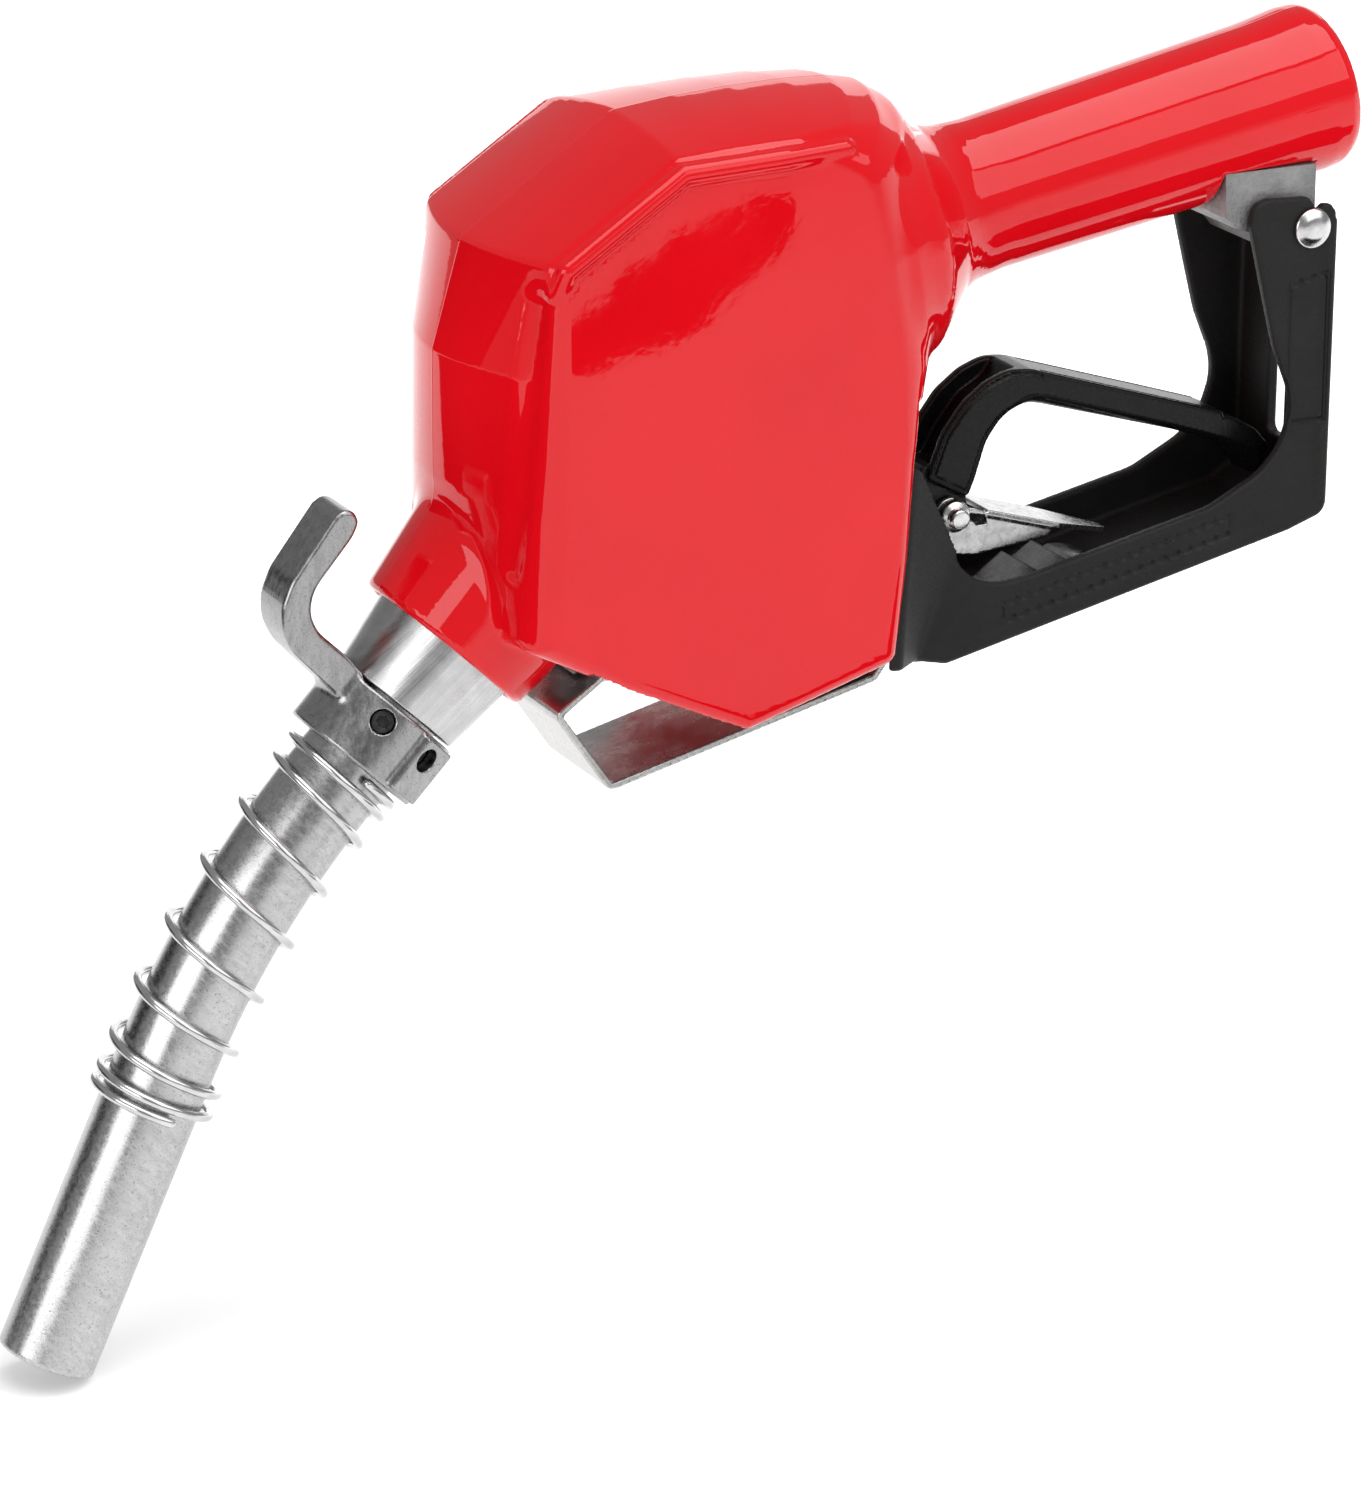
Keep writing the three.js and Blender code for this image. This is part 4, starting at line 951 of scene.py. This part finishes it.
CLIP_EAR = [*arc(CLIP_PIVOT, 3.6, 80, 200, 10), *rounded([
    (57.6, 38.4, 2), (60, 36.2, 2.5), (65, 35.5, 4), (82.6, 37.3, 2), (84.7, 39, 1), (68.2, 44.2, 6),
    (62.5, 46.5, 4),
])]
CLIP_TOP = ((68.2, 44.9), (99.6, 35.4))
CLIP_TAPER = (85.5, 101.0)  # from full width to the tip
CLIP_TIP_HALF_WIDTH = 1.2
CLIP_RELIEF = [(62.5, 44.6), (67.2, 43.6), (67.6, 42.2), (65.6, 42.2), (64.9, 43.1), (62.9, 43.4)]


def clip_field(x, y, z):
    across = np.abs(y)
    ear = both(outline(x, z, CLIP_EAR), slab(across, CLIP_HALF_WIDTH - CLIP_SHEET, CLIP_HALF_WIDTH), 0.25)
    relief = outline(x, z, CLIP_RELIEF) - 0.35
    ear = without(ear, relief, 0.15)
    along, above, span = beside(x, z, CLIP_TOP)
    share = np.clip((x - CLIP_TAPER[0]) / (CLIP_TAPER[1] - CLIP_TAPER[0]), 0, 1)
    taper = CLIP_HALF_WIDTH - share * (CLIP_HALF_WIDTH - CLIP_TIP_HALF_WIDTH)
    web = both(slab(above, -CLIP_SHEET, 0), slab(along, 0, span), 0.25)
    web = both(web, across - taper, 0.25)
    hole = cross_hole(x, z, CLIP_PIVOT, CLIP_RIVET_RADIUS + PIN_HOLE_PLAY)
    return without(either(ear, web, 0.8), hole, 0.15)


moulded("clip_sheet", clip_field, (53, -8, 33), (103, 8, 51), 0.3, SHADED_CLIP_STEEL,
        ["hold_open_clip"], "clip")

turned("clip_rivet_pin", rounded([
    (-11.6, 0, 0), (-11.6, 2.2, 0.6), (-9.6, 2.2, 0.2), (-9.2, 3.4, 0.5), (-7.2, 3.4, 0.4),
    (-7.2, CLIP_RIVET_RADIUS, 0.1), (7.2, CLIP_RIVET_RADIUS, 0.1), (7.2, 3.4, 0.4), (9.2, 3.4, 0.5),
    (9.6, 2.2, 0.2), (11.6, 2.2, 0.6), (11.6, 0, 0),
], 0.3), straight_line((CLIP_PIVOT[0], 0, CLIP_PIVOT[1]), ACROSS), STEEL, ["clip_rivet"], "lever",
    sides=48, side=UP)

# ---- guard, its rivet and the rack

HEEL = arc((141, 39.8), 3.3, -70, 0, 8)  # the guard's rounded lower rear corner
GUARD_SIDE = rounded([
    (45, 18.3, 0.5), (53, 16.6, 6), (135.8, 34.6, 3), *HEEL, (144.7, 103, 1.3), (143.4, 104.6, 1),
    (141.6, 104.8, 0.8), (140.2, 103.4, 1), (138, 106.6, 1.5), (128, 107.2, 3), (124.6, 106.2, 3),
    (123.9, 102, 3), (127.9, 85.8), (130.7, 75), (134.6, 65.5), (135.3, 60.5), (133.2, 53), (128, 47.6),
    (116.2, 41.7), (72.5, 32.6), (65, 31.9), (58.6, 34.2), (53.6, 40.4, 1),
], 14.0)
GUARD_FLOOR = [(46, 18.3), (53, 16.6), (135.8, 34.6), (135.8, 37.3), (53, 19.3), (46, 21)]
GUARD_BACK = [(135, 34.4), *HEEL, (144.7, 101), (142.1, 101), (141.7, 41.2), (135, 37.1)]
BACK_SLOT_ENDS = (50.0, 88.0)
BACK_SLOT_HALF_WIDTH = 3.4
GUARD_RIVET_HOLE = 3.2
FLAP_REAR = ((45.4, 18.2), (54, 40.4))  # low and high corners where a flap leaves its wall
FLAP_FRONT = ((35, 20.6), (38, 64.5))  # the same at the flap's far edge
FLAP_FRONT_Y = 28.4
UPRIGHT_PANEL = [(133.6, 58), (143, 58), (143, 90), (133.6, 88)]
LOWER_PANEL = [(66, 23.6), (121, 35.4), (121, 39.4), (66, 27.4)]
PANEL_DEPTH = 0.3  # of the line moulded round each panel
PANEL_LINE = 0.45  # half its width


def flap_field(x, across, z):
    """A twisted sheet that spreads outwards from the guard's wall."""
    start = GUARD_HALF_WIDTH - GUARD_WALL / 2
    share = np.clip((across - start) / (FLAP_FRONT_Y - start), 0, 1)
    (lx, lz), (hx, hz) = [
        tuple(a + share * (b - a) for a, b in zip(rear, front)) for rear, front in zip(FLAP_REAR, FLAP_FRONT)
    ]
    dx, dz = hx - lx, hz - lz
    span = np.sqrt(dx * dx + dz * dz)
    rise = ((x - lx) * dx + (z - lz) * dz) / span
    aside = ((x - lx) * dz - (z - lz) * dx) / span
    height = np.clip(rise / span, 0, 1)
    (low_x, low_z), (high_x, high_z) = np.array(FLAP_FRONT) - FLAP_REAR
    lean_x = low_x * (1 - height) + high_x * height
    lean_z = low_z * (1 - height) + high_z * height
    slope = (lean_x * dz - lean_z * dx) / span / (FLAP_FRONT_Y - start)
    sheet = np.abs(aside) / np.sqrt(1 + slope * slope) - GUARD_WALL / 2
    sides = both(slab(rise, 0, span), slab(across, start, FLAP_FRONT_Y), 0.8)
    return both(sheet, sides, 0.8)


def guard_field(x, y, z):
    across = np.abs(y)
    side = outline(x, z, GUARD_SIDE)
    wall = both(side, slab(across, GUARD_HALF_WIDTH - GUARD_WALL, GUARD_HALF_WIDTH), 0.8)
    floor = both(outline(x, z, GUARD_FLOOR), across - GUARD_HALF_WIDTH, 0.6)
    back = both(outline(x, z, GUARD_BACK), across - GUARD_HALF_WIDTH, 0.8)
    shape = either(wall, np.minimum(floor, back), 1.4)
    shape = either(shape, flap_field(x, across, z), 1.0)
    for panel in (UPRIGHT_PANEL, LOWER_PANEL):
        frame_line = np.abs(outline(x, z, panel)) - PANEL_LINE
        shape = without(shape, np.maximum(frame_line, GUARD_HALF_WIDTH - PANEL_DEPTH - across), 0.3)
    slot = both(slab(z, *BACK_SLOT_ENDS), across - BACK_SLOT_HALF_WIDTH, 2.0)
    shape = without(shape, np.maximum(slot, 139 - x), 0.4)
    shape = without(shape, cross_hole(x, z, GUARD_RIVET, GUARD_RIVET_HOLE), 0.3)
    hole = np.maximum(length(x - GUARD_SCREW_X, across) - GUARD_SCREW_HOLE, z - 30)
    return without(shape, hole, 0.3)


moulded("guard_moulding", guard_field, (33, -30, 14), (147, 30, 110), 0.65, GUARD_PLASTIC,
        ["lever_guard"])

turned("guard_rivet_pin", rounded([
    (-19.6, 0, 0), (-19.3, 2.4, 4), (-18.4, 4.2, 1), (-17.8, 4.4, 0.2), (-17.8, 3, 0.1),
    (17.8, 3, 0.1), (17.8, 4.4, 0.2), (18.4, 4.2, 1), (19.3, 2.4, 4), (19.6, 0, 0),
], 0.3), straight_line((GUARD_RIVET[0], 0, GUARD_RIVET[1]), ACROSS), STEEL, ["guard_rivet"],
    sides=64, side=UP)

RACK_START = 71.0
RACK_END = 96.0
RACK_TOOTH = 7.0
RACK_HALF_WIDTH = 9.0
FLOOR_SLOPE = 18 / 82.8


def rack_field(x, y, z):
    """A strip with three saw teeth on the guard's sloping floor, narrower at both ends."""
    base = 19.3 + (x - 53) * FLOOR_SLOPE
    tooth = np.clip((x - RACK_START - 2) / RACK_TOOTH, 0, 2.999)
    ridge = 1.6 + 2.4 * (tooth - np.floor(tooth)) ** 1.5
    fade = np.clip((RACK_END - x) / 6, 0, 1)
    top = z - base - 1.2 - ridge * fade
    half = RACK_HALF_WIDTH - 5.5 * np.clip((x - RACK_END + 12) / 12, 0, 1) ** 2
    half = half - 2.5 * np.clip((RACK_START + 6 - x) / 6, 0, 1) ** 2
    shape = both(top * 0.8, base + 0.35 - z, 0.4)
    shape = both(shape, np.abs(y) - half, 1.4)
    return both(shape, slab(x, RACK_START, RACK_END), 1.0)


moulded("notched_rack", rack_field, (69, -10.5, 21), (98, 10.5, 37), 0.35, RACK_STEEL,
        ["hold_open_rack"])

# ---- strap and its screws

STRAP_LINE = [(-20.6, 26.4), (-34.4, 16.9), (-22.7, -0.2), (38, 14.4), (44, 22.6), (62, 22.9)]
FOOT_NORMAL = in_plane(124.5)
FOOT_SCREW = np.array([-25.0, 0.0, 23.4])
FOOT_SCREW_HOLE = 2.1
SCREW_PITCH = 1.1
STRAP_OUTLINE = strip(STRAP_LINE, STRAP_SHEET, 0.7)


def strap_field(x, y, z):
    sheet = both(outline(x, z, STRAP_OUTLINE), np.abs(y) - STRAP_HALF_WIDTH, 0.35)
    depth, aside = about(x, y, z, FOOT_SCREW, FOOT_NORMAL)
    sheet = without(sheet, np.maximum(aside - FOOT_SCREW_HOLE, np.abs(depth) - 5), 0.3)
    hole = length(x - GUARD_SCREW_X, y) - GUARD_SCREW_HOLE
    return without(sheet, np.maximum(hole, slab(z, 15, 35)), 0.3)


moulded("strap_sheet", strap_field, (-38, -15.5, -3), (64.5, 15.5, 29), 0.45, SHEET,
        ["guard_strap"])


def pan_screw_field(point, axis, shank, head, long):
    """A screw with a low domed head at its start and a hexagon socket; it points along the axis."""
    side = np.cross(axis, ACROSS)

    def field(x, y, z):
        along, aside = about(x, y, z, point, axis)
        dome = length(aside, along - head * 1.4 + 2.2) - head * 1.4
        top = both(both(aside - head, slab(along, -2.2, 0), 0.3), dome, 0.3)
        thread = 0.1 * np.cos(along * 2 * math.pi / SCREW_PITCH)
        body = both(aside - shank + 0.1 - thread, slab(along, -0.5, long), 0.4)
        socket = np.maximum(hexagon(reach(x, y, z, point, side), y, head * 0.42), along + 0.9)
        return without(np.minimum(top, body), socket, 0.15)

    return field


FOOT_HEAD = FOOT_SCREW - (STRAP_SHEET / 2 + 0.3) * FOOT_NORMAL
FLOOR_HEAD = np.array([GUARD_SCREW_X, 0.0, 24.0])
for name, node, head, *shape in (
    ("foot_screw", "strap_front_screw", FOOT_HEAD, FOOT_NORMAL, 1.8, 3.4, 9),
    ("floor_screw", "strap_rear_screw", FLOOR_HEAD, -UP, 2.0, 3.6, 6.6),
):
    moulded(name, pan_screw_field(head, *shape), head - 9, head + 10, 0.3, DARK_STEEL, [node])

# ---- hose thread

THREAD_PITCH = 1.81
THREAD_TURNS = 7
THREAD_RIDGE = 0.55  # radius of the ridge that stands for the thread
THREAD_DEPTH = 1.6  # of its first turn below the inlet's face


def thread_points():
    turns = np.linspace(0, THREAD_TURNS, THREAD_TURNS * 48 + 1)
    s = INLET_FACE - THREAD_DEPTH - turns * THREAD_PITCH
    upper = np.cross(HANDLE_AXIS, ACROSS)
    turn = (turns * 2 * math.pi)[:, None]
    spoke = ACROSS * np.cos(turn) + upper * np.sin(turn)
    return HANDLE_POINT + np.outer(s, HANDLE_AXIS) + INLET_RADIUS * spoke


wire("inlet_thread", thread_points(), THREAD_RIDGE, CASTING, (), sides=8)

# ---- carried-over nodes

NODE_MATERIALS = {
    "casting": CASTING, "zinc": MACHINED, "steel": STEEL, "strap": SHEET, "plastic": GUARD_PLASTIC,
    "lever_plastic": LEVER_PLASTIC, "brass": BRASS, "rubber": RUBBER, "vinyl": VINYL,
}
for subpart in frame["record"]["subparts"]:
    node = frame["nodes"].get(subpart["node"])
    if node is not None:
        node.data.materials.clear()
        node.data.materials.append(NODE_MATERIALS[subpart["material_slot"]])

# ---- floor and light

FLOOR_HALF_SIZE = 6.0  # metres
FLOOR_DROP = 0.0002  # the floor lies this far below the spout's tip
BEHIND = (0.44, 0.90, 0.0)  # towards the back of the floor, as the camera sees it
CARD_SIDES = 48
CARD_LEVEL = -112.0  # just above the floor, in layout millimetres
AMBIENT = (0.3, 0.3, 0.3, 1)


def floor_finish():
    """Pale card that glows a little more towards the back, so that it fades to white there."""
    f = Finish("pale_floor", Roughness=0.6, Specular_IOR_Level=0.2, Emission_Color=(1, 1, 1, 1))
    behind = f.node("ShaderNodeVectorMath", {0: f.place, 1: BEHIND}, operation="DOT_PRODUCT")
    glow = f.node("ShaderNodeMapRange", {
        "Value": behind.outputs["Value"], "From Min": -0.3, "From Max": 0.8, "To Min": 0.22, "To Max": 0.9,
    })
    f.set("Emission Strength", glow.outputs[0])
    f.set("Base Color", f.ramp(f.noise(6, 2), (0.3, 0.88), (0.7, 0.90)))
    return f.material


def make_floor():
    level = cad_box[0].z - FLOOR_DROP
    signs = ((-1, -1), (1, -1), (1, 1), (-1, 1))
    corners = [(x * FLOOR_HALF_SIZE, y * FLOOR_HALF_SIZE, level) for x, y in signs]
    add_mesh("floor", corners, [(0, 1, 2, 3)], floor_finish())


def softbox(name, azimuth, elevation, distance, width, height, brightness):
    """An evenly lit panel, in metres, that faces the nozzle."""
    data = bpy.data.lights.new(name, "AREA")
    data.shape = "RECTANGLE"
    data.size = width
    data.size_y = height
    data.energy = brightness * math.pi * width * height
    placed(name, data, (0, 0, 60), towards(azimuth, elevation), distance).visible_camera = False


def dark_card(name, centre, long_axis, short_axis):
    """A dark oval card, in layout millimetres; it shows only as a dark patch in glossy surfaces."""
    turns = np.linspace(0, 2 * math.pi, CARD_SIDES, endpoint=False)[:, None]
    rim = np.asarray(centre) + np.cos(turns) * np.asarray(long_axis) + np.sin(turns) * np.asarray(short_axis)
    finish = Finish(name, Roughness=1.0, Specular_IOR_Level=0.0)
    finish.set("Base Color", finish.ramp(finish.noise(8, 2), (0.3, 0.01), (0.7, 0.02)))
    card = add_mesh(name, in_frame(rim).tolist(), [tuple(range(CARD_SIDES))], finish.material)
    card.visible_camera = False
    card.visible_diffuse = False
    card.visible_shadow = False


def make_world():
    """Even, dim light from the studio's walls."""
    world = bpy.data.worlds.new("studio")
    world.use_nodes = True
    world.node_tree.nodes["Background"].inputs["Color"].default_value = AMBIENT
    bpy.context.scene.world = world


make_floor()
make_world()
dark_card("front_card", (490, -1165, CARD_LEVEL), (222, -284, 0), (50, 39, 0))
dark_card("left_card", (-1150, 150, CARD_LEVEL), (156, 886, 0), (-740, 130, 0))
dark_card("grip_card", (235, -200, CARD_LEVEL), (187, 33, 0), (-16, 100, 0))
dark_card("back_card", (-1180, 1150, 250), (440, 430, 0), (0, 0, 330))
softbox("left_panel", -64, 14, 1.9, 1.4, 0.9, 2.8)
softbox("right_panel", 30, 34, 1.9, 2.0, 1.1, 1.55)
softbox("top_panel", 24, 76, 2.0, 2.2, 1.6, 2.65)
softbox("back_panel", 148, 10, 2.4, 2.2, 1.0, 1.1)

bpy.context.scene.view_settings.view_transform = "Standard"
